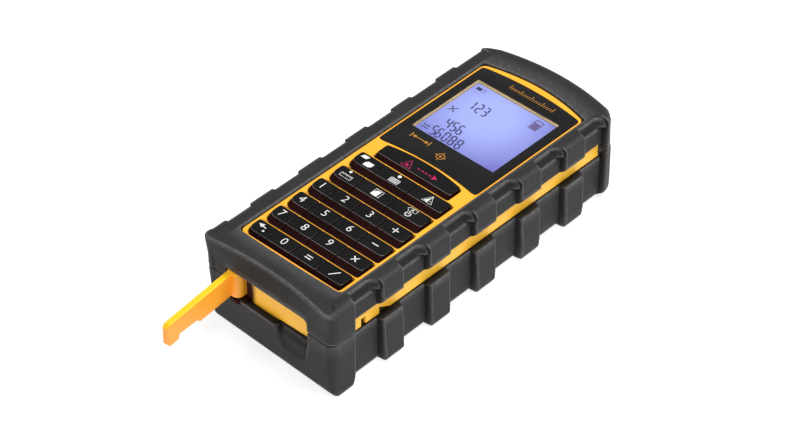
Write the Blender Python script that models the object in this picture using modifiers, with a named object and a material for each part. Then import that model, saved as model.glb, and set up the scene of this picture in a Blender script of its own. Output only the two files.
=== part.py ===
"""Laser distance meter with a calculator keypad, in a two-part rubber bumper.

The frame: the back lies on Z = 0, the display end points to +Y, the keypad faces +Z.
Every dimension is in millimetres; the helpers turn millimetres into metres.
"""

import math

import bmesh
import bpy
from mathutils import Matrix, Vector

MM = 0.001
GAP = 0.3                    # clearance between pieces that touch

# Bumper: two rubber shells, one over the face and one under the back
RIB_X = 30.6                 # half width over the side ribs
PANEL_X = 28.1               # half width of the panels between the ribs
NEAR_Y = -75.7               # near end at the corners
NEAR_CROWN = 0.7             # how far the near end bulges at the middle
FAR_Y = 70.8                 # far end at the corners
FAR_CROWN = 4.5              # how far the far end bulges at the middle
CORNER_R = 4.2               # upright corners of the bumper
TOP_Z = 37.6                 # rim around the keypad
FOOT_BEVEL = 2.6             # rounding of the foot
SEAM_Z = 23.4                # joint between the two shells at the ends
BUMPER_FLOOR = 2.2           # rubber under the back

# Ribs down each side: they end every RIB_PITCH and are RIB_LENGTH long
GAP_NEAR_Y = -64.2           # the side gap runs between the corner pillars
GAP_FAR_Y = 66.0
RIB_COUNT = 5
RIB_FIRST_FAR = -40.8
RIB_PITCH = 23.7
RIB_LENGTH = 10.8
PANEL_TOP_Z = 33.8           # upper shell: the panel is scooped away above this
PANEL_LOW_Z = 26.0           # upper shell: lower edge of the panels
RIB_LOW_Z = 28.0             # upper shell: the ribs are chamfered below this
LEDGE_Z = 19.8               # lower shell: its ledge under the side gap

# Window in the upper shell, and the raised face pad that fills it
WINDOW_X = 23.85
WINDOW_NEAR = -65.1
WINDOW_FAR = 60.6
WINDOW_CROWN = 3.8
PAD_INSET = 0.25
FACE_Z = 36.9

# Case: front and rear housing
CASE_X = 25.7
CASE_NEAR = -72.0
CASE_FAR = 68.0
CASE_CROWN = 4.3
CASE_R = 4.0
WALL = 1.6
RIM_Z = 35.2                 # shoulder of the front housing, under the bumper
SPLIT_Z = 16.5               # lower edge of the front housing
CASE_FLOOR = 2.5             # outside of the rear housing's floor
CEILING_Z = 33.7             # underside of the face
BAND_X = 27.2                # band that stands in the side gap
BAND_LOW_Z = 20.1
BAND_TOP_Z = 25.7
LUG_NEAR = -58.7             # slot for a wrist strap, through the band
LUG_FAR = -56.4
LUG_TOP_Z = 23.4
LUG_END = -49.7              # beyond the lug the band has a tapering notch
NOTCH_END = -44.3
NOTCH_TOP_Z = 23.0

# Slot across the near end that the lever folds into
SLOT_LEFT = -21.1
SLOT_RIGHT = 18.6
SLOT_TOP_Z = 28.3
SLOT_LOW_Z = 16.8

# End lever
PIVOT_X = -17.3
PIVOT_Y = -72.9
BARREL_R = 3.4
LEVER_LOW_Z = 17.1
LEVER_TOP_Z = 26.7
LEVER_THICK = 2.6
LEVER_LENGTH = 35.7
LEVER_STEP = 20.5            # where the arm gets shallower
LEVER_STEP_Z = 18.6
HOOK_LENGTH = 5.6            # full-height end of the arm
LEVER_LEAN = 5.5             # degrees the arm leans in from square
PIN_R = 0.8
PIN_LOW_Z = 14.9
PIN_TOP_Z = 27.9
EAR_LOW_Z = 14.8             # ear of the rear housing, under the lever
EAR_TOP_Z = 27.0             # ear of the front housing, over the lever
EAR_REACH = 2.6              # how far the ears stand out past the pivot

# Keypad: rows of keys, near row first
KEY_TOP_Z = 38.0
KEY_FOOT_Z = 34.3
KEY_SHOULDER_Z = 36.7        # the near side slopes back above this
FIRST_SLOPE = 1.1            # slope of the near side in the first row
KEY_SLOPE = 2.0              # and in the other rows
KEY_R = 0.9
ROW_PITCH = 10.05
ROW_FIRST_NEAR = -63.0       # near edge of the first row's key tops
ROW_DEPTH = 6.35
NUMBER_HALF = 22.0
NUMBER_SEAMS = (-13.2, -2.0, 10.1)
MENU_HALF = 21.2
MENU_SEAMS = (-10.1, 5.2)
MEASURE_HALF = 17.6
MEASURE_NEAR = -3.4          # near edge of the measure key's top
MEASURE_SLOPE = 1.6
MEASURE_DEPTH = 5.6
MEASURE_CROWN = 1.9
SEAM_GAP = 0.3

NUMBER_ROWS = (
    ("key_back", "key_0", "key_equals", "key_divide"),
    ("key_7", "key_8", "key_9", "key_times"),
    ("key_4", "key_5", "key_6", "key_minus"),
    ("key_1", "key_2", "key_3", "key_plus"),
)
MENU_ROWS = (
    ("key_unit", "key_memory", "key_clear"),
    ("key_area", "key_history", "key_triangle"),
)

# Display
LENS_X = 22.8
LENS_NEAR = 3.4
LENS_DIP = 2.25              # the near edge curves up at the middle
LENS_FAR = 59.1
LENS_CROWN = 2.1
LENS_LOW_Z = 35.7
LENS_TOP_Z = 37.1
LCD_X = 18.5                 # clear area inside the frame
LCD_NEAR = 17.5
LCD_FAR = 51.5
LCD_RIM = 1.2
LCD_FRAME_LOW_Z = 30.4
LCD_FRAME_TOP_Z = 35.3
PANEL_GLASS_Z = (33.9, 35.1)
BACKLIGHT_Z = (32.2, 33.6)

# Board and keypad mat
BOARD_X = 23.4
BOARD_NEAR = -63.6
BOARD_FAR = 57.0
BOARD_Z = (28.6, 30.1)
MAT_Z = (30.4, 31.6)
MAT_PAD_Z = 33.3
BUZZER_AT = (13.0, -34.0)
BUZZER_R = 4.5

# Power: two AAA cells behind a lift-off door
CELL_R = 5.25
CELL_LENGTH = 43.3
NIPPLE_R = 1.9
NIPPLE_LENGTH = 1.2
CELL_X = 5.9
CELL_Z = 9.9
CELL_NEAR = -56.6
HOLDER_X = 12.9
HOLDER_NEAR = -61.0
HOLDER_FAR = -10.2
HOLDER_LOW_Z = 4.4
HOLDER_TOP_Z = 16.6
DOOR_X = 14.0
DOOR_NEAR = -60.0
DOOR_FAR = -11.0
DOOR_Z = (0.5, 2.1)
DOOR_LIP = 1.9               # the lip stands this far inside the door's edge
DOOR_LIP_Z = 3.6
SPRING_R = 2.6
SPRING_TIP_R = 1.5
SPRING_WIRE = 0.25
SPRING_TURNS = 3.5

# Optics at the far end
OPTIC_Z = 17.0
EMITTER_X = -8.5
RECEIVER_X = 5.0
EMITTER_R = 2.8
RECEIVER_R = 6.7
HOLDER_HALF = 14.6
OPTICS_NEAR = 55.0
OPTICS_FAR = 67.6
GLASS_X = 15.2
GLASS_Z = (9.5, 24.5)
GLASS_Y = (72.6, 73.8)

# Screws that hold the case together
SCREW_X = 21.0
SCREW_NEAR_Y = -66.4
SCREW_FAR_Y = 62.4
SCREW_HEAD_R = 2.5
SCREW_SHANK_R = 1.3
SCREW_TIP_Z = 19.0
BOSS_R = 2.6

COLOURS = {
    "rubber": ((0.045, 0.045, 0.048, 1), 0.75, 0.0),
    "yellow": ((0.95, 0.52, 0.04, 1), 0.4, 0.0),
    "key": ((0.015, 0.015, 0.016, 1), 0.3, 0.0),
    "silicone": ((0.06, 0.012, 0.008, 1), 0.6, 0.0),
    "lens": ((0.01, 0.01, 0.01, 1), 0.08, 0.0),
    "lcd": ((0.38, 0.42, 0.85, 1), 0.25, 0.0),
    "frame": ((0.45, 0.33, 0.12, 1), 0.5, 0.0),
    "board": ((0.02, 0.16, 0.06, 1), 0.5, 0.0),
    "steel": ((0.6, 0.6, 0.6, 1), 0.3, 1.0),
    "brass": ((0.75, 0.55, 0.22, 1), 0.3, 1.0),
    "black": ((0.02, 0.02, 0.02, 1), 0.5, 0.0),
    "glass": ((0.12, 0.03, 0.03, 1), 0.05, 0.0),
    "cell": ((0.12, 0.14, 0.18, 1), 0.35, 0.2),
}


def clear_scene():
    for item in list(bpy.data.objects):
        bpy.data.objects.remove(item, do_unlink=True)


def new_collection(name):
    group = bpy.data.collections.new(name)
    bpy.context.scene.collection.children.link(group)
    return group


def material(name):
    if name in bpy.data.materials:
        return bpy.data.materials[name]
    colour, roughness, metallic = COLOURS[name]
    made = bpy.data.materials.new(name)
    made.use_nodes = True
    shader = made.node_tree.nodes["Principled BSDF"]
    shader.inputs["Base Color"].default_value = colour
    shader.inputs["Roughness"].default_value = roughness
    shader.inputs["Metallic"].default_value = metallic
    made.diffuse_color = colour
    return made


def add_part(name, mesh, look):
    """Put a mesh in the parts collection as one named sub-part."""
    mesh.name = name
    mesh.materials.clear()
    mesh.materials.append(material(look))
    part = bpy.data.objects.new(name, mesh)
    PARTS.objects.link(part)
    return part


def add_cutter(name, mesh):
    cutter = bpy.data.objects.new(name, mesh)
    cutter.hide_render = True
    cutter.display_type = "WIRE"
    CUTTERS.objects.link(cutter)
    return cutter


def boolean(part, tools, operation):
    for tool in tools:
        step = part.modifiers.new(tool.name, "BOOLEAN")
        step.operation = operation
        step.solver = "EXACT"
        step.object = tool


def cut(part, *tools):
    boolean(part, tools, "DIFFERENCE")


def join(part, *tools):
    boolean(part, tools, "UNION")


def tidy(mesh):
    """Weld a curve's loose caps and merge faces that lie in one plane."""
    work = bmesh.new()
    work.from_mesh(mesh)
    bmesh.ops.remove_doubles(work, verts=work.verts, dist=0.00001)
    bmesh.ops.dissolve_limit(work, angle_limit=math.radians(0.03),
                             verts=work.verts, edges=work.edges)
    bmesh.ops.recalc_face_normals(work, faces=work.faces)
    work.to_mesh(mesh)
    work.free()
    return mesh


def curve_mesh(curve, placement):
    """The mesh of a curve object, moved to its place."""
    guide = bpy.data.objects.new("outline", curve)
    CUTTERS.objects.link(guide)
    graph = bpy.context.evaluated_depsgraph_get()
    mesh = bpy.data.meshes.new_from_object(guide.evaluated_get(graph))
    mesh.transform(placement)
    bpy.data.objects.remove(guide, do_unlink=True)
    return tidy(mesh)


AXIS_TURNS = {
    "Z": Matrix.Identity(4),
    "Y": Matrix(((1, 0, 0, 0), (0, 0, -1, 0), (0, 1, 0, 0), (0, 0, 0, 1))),
    "X": Matrix(((0, 0, 1, 0), (1, 0, 0, 0), (0, 1, 0, 0), (0, 0, 0, 1))),
}


def prism(outlines, low, high, axis="Z"):
    """Flat outlines (the first one outside, the others holes) extruded along an axis.

    An outline's two coordinates are X and Y, X and Z, or Y and Z.
    """
    curve = bpy.data.curves.new("outline", "CURVE")
    curve.dimensions = "2D"
    curve.fill_mode = "BOTH"
    curve.extrude = (high - low) / 2 * MM
    for outline in outlines:
        spline = curve.splines.new("POLY")
        spline.points.add(len(outline) - 1)
        for point, (across, along) in zip(spline.points, outline):
            point.co = (across * MM, along * MM, 0, 1)
        spline.use_cyclic_u = True
    shift = Vector([0, 0, 0])
    shift["XYZ".index(axis)] = (low + high) / 2 * MM
    return curve_mesh(curve, Matrix.Translation(shift) @ AXIS_TURNS[axis])


def box(low, high):
    """A box between two corners."""
    work = bmesh.new()
    bmesh.ops.create_cube(work, size=1.0)
    size = [(b - a) * MM for a, b in zip(low, high)]
    middle = Vector([(a + b) / 2 * MM for a, b in zip(low, high)])
    bmesh.ops.scale(work, vec=size, verts=work.verts)
    bmesh.ops.translate(work, vec=middle, verts=work.verts)
    mesh = bpy.data.meshes.new("box")
    work.to_mesh(mesh)
    work.free()
    return mesh


def rod(radius, low, high, centre, axis="Z", sides=20):
    """A cylinder along an axis; centre holds the two other coordinates."""
    work = bmesh.new()
    bmesh.ops.create_cone(work, cap_ends=True, segments=sides, radius1=radius * MM,
                          radius2=radius * MM, depth=(high - low) * MM)
    bmesh.ops.transform(work, matrix=AXIS_TURNS[axis], verts=work.verts)
    place = list(centre)
    place.insert("XYZ".index(axis), (low + high) / 2)
    bmesh.ops.translate(work, vec=Vector(place) * MM, verts=work.verts)
    mesh = bpy.data.meshes.new("rod")
    work.to_mesh(mesh)
    work.free()
    return mesh


def arc(centre, radius, start, end, steps):
    """Points on an arc, angles in degrees."""
    points = []
    for step in range(steps + 1):
        angle = math.radians(start + (end - start) * step / steps)
        points.append((centre[0] + radius * math.cos(angle),
                       centre[1] + radius * math.sin(angle)))
    return points


def rounded(left, near, right, far, radius, steps=3):
    """A rectangle with rounded corners, counter-clockwise."""
    return (arc((right - radius, near + radius), radius, -90, 0, steps)
            + arc((right - radius, far - radius), radius, 0, 90, steps)
            + arc((left + radius, far - radius), radius, 90, 180, steps)
            + arc((left + radius, near + radius), radius, 180, 270, steps))


def crowned(half, near, far, radius, near_crown, far_crown, steps=3, end_steps=12):
    """A rounded rectangle whose ends bulge by a crown at the middle."""
    corners = rounded(-half, near, half, far, radius, steps)
    quarter = steps + 1
    inner = half - radius
    across = [-inner + 2 * inner * step / end_steps for step in range(1, end_steps)]
    far_edge = [(x, far) for x in reversed(across)]
    near_edge = [(x, near) for x in across]
    flat = (near_edge + corners[:2 * quarter] + far_edge + corners[2 * quarter:])
    middle = (near + far) / 2
    points = []
    for x, y in flat:
        swell = 1 - (x / half) ** 2
        points.append((x, y + far_crown * swell if y > middle else y - near_crown * swell))
    return points


def turned(profile, centre, axis="Z", steps=20):
    """A profile of (radius, height) pairs, outer side top to bottom, turned about an axis."""
    work = bmesh.new()
    points = [work.verts.new((radius * MM, 0, height * MM)) for radius, height in profile]
    for first, second in zip(points, points[1:]):
        work.edges.new((first, second))
    mesh = bpy.data.meshes.new("profile")
    work.to_mesh(mesh)
    work.free()
    guide = bpy.data.objects.new("profile", mesh)
    CUTTERS.objects.link(guide)
    screw = guide.modifiers.new("turn", "SCREW")
    screw.steps = steps
    screw.render_steps = steps
    screw.use_merge_vertices = True
    screw.merge_threshold = 0.00001
    graph = bpy.context.evaluated_depsgraph_get()
    solid = bpy.data.meshes.new_from_object(guide.evaluated_get(graph))
    bpy.data.objects.remove(guide, do_unlink=True)
    place = Matrix.Translation(Vector(centre) * MM) @ AXIS_TURNS[axis]
    solid.transform(place)
    return tidy(solid)


def case_outline(inset=0.0):
    return crowned(CASE_X - inset, CASE_NEAR + inset, CASE_FAR - inset,
                   CASE_R, 0.5, CASE_CROWN)


def bumper_outline():
    return crowned(RIB_X, NEAR_Y, FAR_Y, CORNER_R, NEAR_CROWN, FAR_CROWN, 4, 14)


def rib_gaps():
    """Near and far end of each panel between ribs, from the near pillar on."""
    starts = [GAP_NEAR_Y]
    ends = []
    for rib in range(RIB_COUNT):
        far = RIB_FIRST_FAR + RIB_PITCH * rib
        ends.append(far - RIB_LENGTH)
        starts.append(far)
    ends.append(GAP_FAR_Y)
    return list(zip(starts, ends))


def mirrored(points, side):
    """An outline in X and Z for the right side, or its mirror image for the left."""
    if side > 0:
        return points
    return [(-x, z) for x, z in reversed(points)]


def upper_bumper():
    part = add_part("upper_bumper", prism([bumper_outline()], SEAM_Z, TOP_Z), "rubber")
    edge = part.modifiers.new("rounded_rim", "BEVEL")
    edge.width = 2.0 * MM
    edge.segments = 2
    edge.limit_method = "ANGLE"
    edge.angle_limit = math.radians(60)
    pocket = prism([case_outline(-GAP)], SEAM_Z - 3, RIM_Z + GAP)
    window = prism([crowned(WINDOW_X, WINDOW_NEAR, WINDOW_FAR, 2.2, 0.3, WINDOW_CROWN)],
                   RIM_Z - 2, TOP_Z + 3)
    cut(part, add_cutter("upper_pocket", pocket), add_cutter("face_window", window))
    scoop = [(PANEL_X, SEAM_Z - 2), (PANEL_X, PANEL_TOP_Z), (27.0, 34.7), (26.5, 36.1),
             (26.3, TOP_Z + 2), (RIB_X + 4, TOP_Z + 2), (RIB_X + 4, SEAM_Z - 2)]
    lift = [(CASE_X + GAP - 0.5, SEAM_Z - 3), (RIB_X + 4, SEAM_Z - 3), (RIB_X + 4, RIB_LOW_Z),
            (RIB_X - 0.4, RIB_LOW_Z), (PANEL_X + 0.3, PANEL_LOW_Z),
            (CASE_X + GAP - 0.5, PANEL_LOW_Z)]
    for side, word in ((1, "right"), (-1, "left")):
        for index, (near, far) in enumerate(rib_gaps()):
            mesh = prism([mirrored(scoop, side)], near, far, "Y")
            cut(part, add_cutter(f"scoop_{word}_{index}", mesh))
        mesh = prism([mirrored(lift, side)], GAP_NEAR_Y, GAP_FAR_Y, "Y")
        cut(part, add_cutter(f"side_gap_{word}", mesh))
    slot = box((SLOT_LEFT, NEAR_Y - 4, SEAM_Z - 4), (SLOT_RIGHT, CASE_NEAR + 3, SLOT_TOP_Z))
    cut(part, add_cutter("upper_slot", slot))
    cut(part, add_cutter("upper_port", port_box()))


def port_box():
    """The opening in the bumper's far end, in front of the optics."""
    return box((-GLASS_X - GAP, CASE_FAR - 4, GLASS_Z[0] - GAP),
               (GLASS_X + GAP, FAR_Y + 9, GLASS_Z[1] + GAP))


def lower_bumper():
    shell = prism([bumper_outline()], 0, SEAM_Z - GAP)
    weights = shell.attributes.new("bevel_weight_edge", "FLOAT", "EDGE")
    for index, line in enumerate(shell.edges):
        heights = [shell.vertices[end].co.z for end in line.vertices]
        weights.data[index].value = 1.0 if max(heights) < 0.1 * MM else 0.0
    part = add_part("lower_bumper", shell, "rubber")
    edge = part.modifiers.new("rounded_foot", "BEVEL")
    edge.width = FOOT_BEVEL * MM
    edge.segments = 3
    edge.limit_method = "WEIGHT"
    pocket = prism([case_outline(-GAP)], BUMPER_FLOOR, SEAM_Z + 3)
    cut(part, add_cutter("lower_pocket", pocket))
    panel = [(PANEL_X - 1.0, -2), (RIB_X + 4, -2), (RIB_X + 4, SEAM_Z + 2),
             (PANEL_X, SEAM_Z + 2), (PANEL_X, FOOT_BEVEL)]
    for side, word in ((1, "right"), (-1, "left")):
        for index, (near, far) in enumerate(rib_gaps()):
            mesh = prism([mirrored(panel, side)], near, far, "Y")
            cut(part, add_cutter(f"panel_{word}_{index}", mesh))
        edges = sorted((side * (CASE_X - 1), side * (RIB_X + 4)))
        mesh = box((edges[0], GAP_NEAR_Y, LEDGE_Z), (edges[1], GAP_FAR_Y, SEAM_Z + 2))
        cut(part, add_cutter(f"ledge_{word}", mesh))
    slot = box((SLOT_LEFT, NEAR_Y - 4, SLOT_LOW_Z), (SLOT_RIGHT, CASE_NEAR + 3, SEAM_Z + 4))
    grip = prism([[(1.0, 19.0), (3.6, 11.5), (6.0, 8.6), (16.2, 8.6), (18.2, 11.0),
                   (18.2, 19.0)][::-1]], NEAR_Y - 4, NEAR_Y + 1.2, "Y")
    ear = box((PIVOT_X - BARREL_R - GAP, PIVOT_Y - BARREL_R, EAR_LOW_Z - GAP),
              (PIVOT_X + BARREL_R + GAP, CASE_NEAR + 3, SEAM_Z))
    door = prism([rounded(-DOOR_X - GAP, DOOR_NEAR - GAP, DOOR_X + GAP, DOOR_FAR + GAP, 2.0)],
                 -2, BUMPER_FLOOR + 3)
    cut(part, add_cutter("lower_slot", slot), add_cutter("finger_grip", grip),
        add_cutter("ear_pocket", ear), add_cutter("door_opening", door),
        add_cutter("lower_port", port_box()))
    for index, spot in enumerate(screw_spots()):
        hole = rod(SCREW_HEAD_R + 0.5, -2, BUMPER_FLOOR + 2, spot, sides=16)
        cut(part, add_cutter(f"screw_access_{index}", hole))


def screw_spots():
    return [(side * SCREW_X, y) for y in (SCREW_NEAR_Y, SCREW_FAR_Y) for side in (-1, 1)]


def row_near(row):
    return ROW_FIRST_NEAR + ROW_PITCH * row


def row_slope(row):
    return KEY_SLOPE if row else FIRST_SLOPE


def key_outline(left, right, row):
    """Foot of one key, from its sloped near side to its far side."""
    near = row_near(row) - row_slope(row)
    return rounded(left, near, right, row_near(row) + ROW_DEPTH, 0.25, 1)


def measure_outline(margin=0.0):
    return crowned(MEASURE_HALF + margin, MEASURE_NEAR - MEASURE_SLOPE - margin,
                   MEASURE_NEAR + MEASURE_DEPTH + margin, KEY_R, 0, MEASURE_CROWN, 2, 8)


def row_layout():
    """For each row: its half width, its seams and its key names."""
    rows = [(NUMBER_HALF, NUMBER_SEAMS, names) for names in NUMBER_ROWS]
    rows += [(MENU_HALF, MENU_SEAMS, names) for names in MENU_ROWS]
    return rows


def front_housing():
    part = add_part("front_housing", prism([case_outline()], SPLIT_Z, RIM_Z), "yellow")
    pad = prism([crowned(WINDOW_X - PAD_INSET, WINDOW_NEAR + PAD_INSET, WINDOW_FAR - PAD_INSET,
                         2.0, 0.3, WINDOW_CROWN)], RIM_Z - 0.8, FACE_Z)
    join(part, add_cutter("face_pad", pad))
    for side, word in ((1, "right"), (-1, "left")):
        edges = sorted((side * (CASE_X - 0.8), side * BAND_X))
        band = box((edges[0], GAP_NEAR_Y + GAP, BAND_LOW_Z),
                   (edges[1], GAP_FAR_Y - GAP, BAND_TOP_Z))
        join(part, add_cutter(f"band_{word}", band))
    inside = prism([case_outline(WALL)], SPLIT_Z - 2, CEILING_Z)
    cut(part, add_cutter("front_inside", inside))
    for index, spot in enumerate(screw_spots()):
        boss = rod(BOSS_R, CASE_FLOOR + WALL + GAP, CEILING_Z + 0.8, spot, sides=16)
        join(part, add_cutter(f"boss_{index}", boss))
        bore = rod(SCREW_SHANK_R + GAP, CASE_FLOOR, SCREW_TIP_Z + 1.5, spot, sides=16)
        cut(part, add_cutter(f"boss_bore_{index}", bore))
    for row, (half, _seams, _names) in enumerate(row_layout()):
        near = row_near(row) - row_slope(row) - GAP
        far = row_near(row) + ROW_DEPTH + GAP
        slot = prism([rounded(-half - GAP, near, half + GAP, far, KEY_R)],
                     CEILING_Z - 2, FACE_Z + 2)
        cut(part, add_cutter(f"row_opening_{row}", slot))
    measure = prism([measure_outline(GAP)], CEILING_Z - 2, FACE_Z + 2)
    seat = prism([lens_outline(0.25)], LENS_LOW_Z - GAP, FACE_Z + 2)
    view = box((-LCD_X - LCD_RIM - GAP, LCD_NEAR - LCD_RIM - GAP, CEILING_Z - 2),
               (LCD_X + LCD_RIM + GAP, LCD_FAR + LCD_RIM + GAP, LENS_LOW_Z))
    ear = prism([ear_outline()], EAR_TOP_Z, SLOT_TOP_Z - GAP)
    cut(part, add_cutter("measure_opening", measure), add_cutter("lens_seat", seat),
        add_cutter("display_opening", view), add_cutter("front_port", case_port()))
    cut(part, add_cutter("barrel_room_front", barrel_room(SPLIT_Z - 2, EAR_TOP_Z)))
    join(part, add_cutter("upper_ear", ear))
    pin_hole = rod(PIN_R + GAP, EAR_TOP_Z - 1, SLOT_TOP_Z + 1, (PIVOT_X, PIVOT_Y), sides=12)
    cut(part, add_cutter("upper_pin_hole", pin_hole))
    strap = box((CASE_X + GAP, LUG_NEAR, BAND_LOW_Z - 2), (BAND_X + 2, LUG_FAR, LUG_TOP_Z))
    notch = prism([[(LUG_END, BAND_LOW_Z - 1), (NOTCH_END, BAND_LOW_Z - 1),
                    (NOTCH_END, BAND_LOW_Z), (LUG_END, NOTCH_TOP_Z)]],
                  CASE_X + GAP, BAND_X + 2, "X")
    cut(part, add_cutter("strap_slot", strap), add_cutter("lug_notch", notch))


def ear_outline():
    return rounded(PIVOT_X - BARREL_R, PIVOT_Y - EAR_REACH, PIVOT_X + BARREL_R, CASE_NEAR + 1, 2.2)


def case_port():
    """The opening in the case's far wall, behind the glass."""
    return box((-HOLDER_HALF, CASE_FAR - 5, GLASS_Z[0] + 0.3),
               (HOLDER_HALF, CASE_FAR + 9, GLASS_Z[1] - 0.3))


def barrel_room(low, high):
    """Room in the case's near wall for the lever's barrel."""
    return rod(BARREL_R + 0.5, low, high, (PIVOT_X, PIVOT_Y), sides=24)


def rear_housing():
    part = add_part("rear_housing", prism([case_outline()], CASE_FLOOR, SPLIT_Z - GAP), "yellow")
    inside = prism([case_outline(WALL)], CASE_FLOOR + WALL, SPLIT_Z + 3)
    opening = box((-DOOR_X + DOOR_LIP - GAP, DOOR_NEAR + DOOR_LIP - GAP, CASE_FLOOR - 2),
                  (DOOR_X - DOOR_LIP + GAP, DOOR_FAR - DOOR_LIP + GAP, CASE_FLOOR + WALL + 2))
    cut(part, add_cutter("rear_inside", inside), add_cutter("cell_opening", opening),
        add_cutter("rear_port", case_port()))
    for index, spot in enumerate(screw_spots()):
        hole = rod(SCREW_SHANK_R + GAP, 0, CASE_FLOOR + WALL + 2, spot, sides=16)
        cut(part, add_cutter(f"screw_hole_{index}", hole))
    ear = prism([ear_outline()], EAR_LOW_Z, SPLIT_Z - GAP)
    join(part, add_cutter("lower_ear", ear))
    pin_hole = rod(PIN_R + GAP, EAR_LOW_Z - 1, SPLIT_Z + 1, (PIVOT_X, PIVOT_Y), sides=12)
    cut(part, add_cutter("lower_pin_hole", pin_hole))


def add_key(name, outline, slope):
    """A key cap whose near side slopes back from the shoulder to the top."""
    mesh = prism([outline], KEY_FOOT_Z, KEY_TOP_Z)
    work = bmesh.new()
    work.from_mesh(mesh)
    geometry = list(work.verts) + list(work.edges) + list(work.faces)
    bmesh.ops.bisect_plane(work, geom=geometry, plane_co=(0, 0, KEY_SHOULDER_Z * MM),
                           plane_no=(0, 0, 1), dist=0.000001)
    middle = sum(y for _x, y in outline) / len(outline) * MM
    for vertex in work.verts:
        if vertex.co.z > (KEY_SHOULDER_Z + 0.5) * MM and vertex.co.y < middle:
            vertex.co.y += slope * MM
    work.to_mesh(mesh)
    work.free()
    centre = Vector((sum(x for x, _y in outline) / len(outline), middle / MM, KEY_FOOT_Z)) * MM
    mesh.transform(Matrix.Translation(-centre))
    key = add_part(name, mesh, "key")
    key.location = centre


def keys():
    for row, (half, seams, names) in enumerate(row_layout()):
        edges = [-half] + list(seams) + [half]
        for index, name in enumerate(names):
            left = edges[index] + (SEAM_GAP / 2 if index else 0)
            right = edges[index + 1] - (SEAM_GAP / 2 if index < len(names) - 1 else 0)
            add_key(name, key_outline(left, right, row), row_slope(row))
    add_key("key_measure", measure_outline(), MEASURE_SLOPE)


def key_mat():
    mat = prism([rounded(-BOARD_X + 0.6, BOARD_NEAR + 0.2, BOARD_X - 0.6, 9.0, 1.0)],
                *MAT_Z)
    part = add_part("key_mat", mat, "silicone")
    for row, (half, _seams, _names) in enumerate(row_layout()):
        bar = box((-half + 1, row_near(row) + 0.6, MAT_Z[0] + 0.4),
                  (half - 1, row_near(row) + ROW_DEPTH - 0.6, MAT_PAD_Z))
        join(part, add_cutter(f"mat_bar_{row}", bar))
    bar = box((-MEASURE_HALF + 1, MEASURE_NEAR + 0.6, MAT_Z[0] + 0.4),
              (MEASURE_HALF - 1, MEASURE_NEAR + MEASURE_DEPTH - 0.6, MAT_PAD_Z))
    join(part, add_cutter("mat_bar_measure", bar))


def lens_outline(margin=0.0):
    return crowned(LENS_X + margin, LENS_NEAR - margin, LENS_FAR + margin,
                   2.0, -LENS_DIP, LENS_CROWN)


def display():
    add_part("display_lens", prism([lens_outline()], LENS_LOW_Z, LENS_TOP_Z), "lens")
    outer = LCD_X + LCD_RIM
    frame = prism([rounded(-outer, LCD_NEAR - LCD_RIM, outer, LCD_FAR + LCD_RIM, 0.5, 2),
                   rounded(-LCD_X, LCD_NEAR, LCD_X, LCD_FAR, 0.4, 2)[::-1]],
                  LCD_FRAME_LOW_Z, LCD_FRAME_TOP_Z)
    add_part("lcd_frame", frame, "frame")
    inner = LCD_X - GAP
    for name, span, look in (("lcd_panel", PANEL_GLASS_Z, "lcd"),
                             ("lcd_backlight", BACKLIGHT_Z, "frame")):
        mesh = box((-inner, LCD_NEAR + GAP, span[0]), (inner, LCD_FAR - GAP, span[1]))
        add_part(name, mesh, look)


def board():
    mesh = prism([rounded(-BOARD_X, BOARD_NEAR, BOARD_X, BOARD_FAR, 1.0)], *BOARD_Z)
    add_part("main_board", mesh, "board")
    sound = turned([(0, BOARD_Z[0] - GAP), (BUZZER_R, BOARD_Z[0] - GAP), (BUZZER_R, 24.9),
                    (BUZZER_R - 0.4, 24.5), (1.2, 24.5), (1.0, 25.1), (0, 25.1)],
                   (BUZZER_AT[0], BUZZER_AT[1], 0), steps=20)
    add_part("buzzer", sound, "black")


def power():
    for word, side in (("left", -1), ("right", 1)):
        profile = [(0, CELL_LENGTH + NIPPLE_LENGTH), (NIPPLE_R, CELL_LENGTH + NIPPLE_LENGTH),
                   (NIPPLE_R, CELL_LENGTH), (CELL_R - 0.4, CELL_LENGTH),
                   (CELL_R, CELL_LENGTH - 0.4), (CELL_R, 0.4), (CELL_R - 0.4, 0), (0, 0)]
        cell = turned(profile, (0, 0, 0), "Y", 20)
        flip = Matrix.Rotation(math.pi, 4, "Z") if side < 0 else Matrix.Identity(4)
        start = CELL_NEAR + CELL_LENGTH if side > 0 else CELL_NEAR
        place = Matrix.Translation(Vector((side * CELL_X, start, CELL_Z)) * MM)
        cell.transform(place @ flip)
        add_part(f"battery_cell_{word}", cell, "cell")
        spring(word, side)
    holder = box((-HOLDER_X, HOLDER_NEAR, HOLDER_LOW_Z), (HOLDER_X, HOLDER_FAR, HOLDER_TOP_Z))
    part = add_part("battery_holder", holder, "black")
    room = box((-HOLDER_X + 1, HOLDER_NEAR + 1, HOLDER_LOW_Z - 2),
               (HOLDER_X - 1, HOLDER_FAR - 1, HOLDER_TOP_Z - 1))
    cut(part, add_cutter("cell_room", room))
    strip = box((-9.5, HOLDER_FAR - 1.9, 6.2), (9.5, HOLDER_FAR - 1.4, 13.6))
    add_part("battery_contact", strip, "steel")


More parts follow.
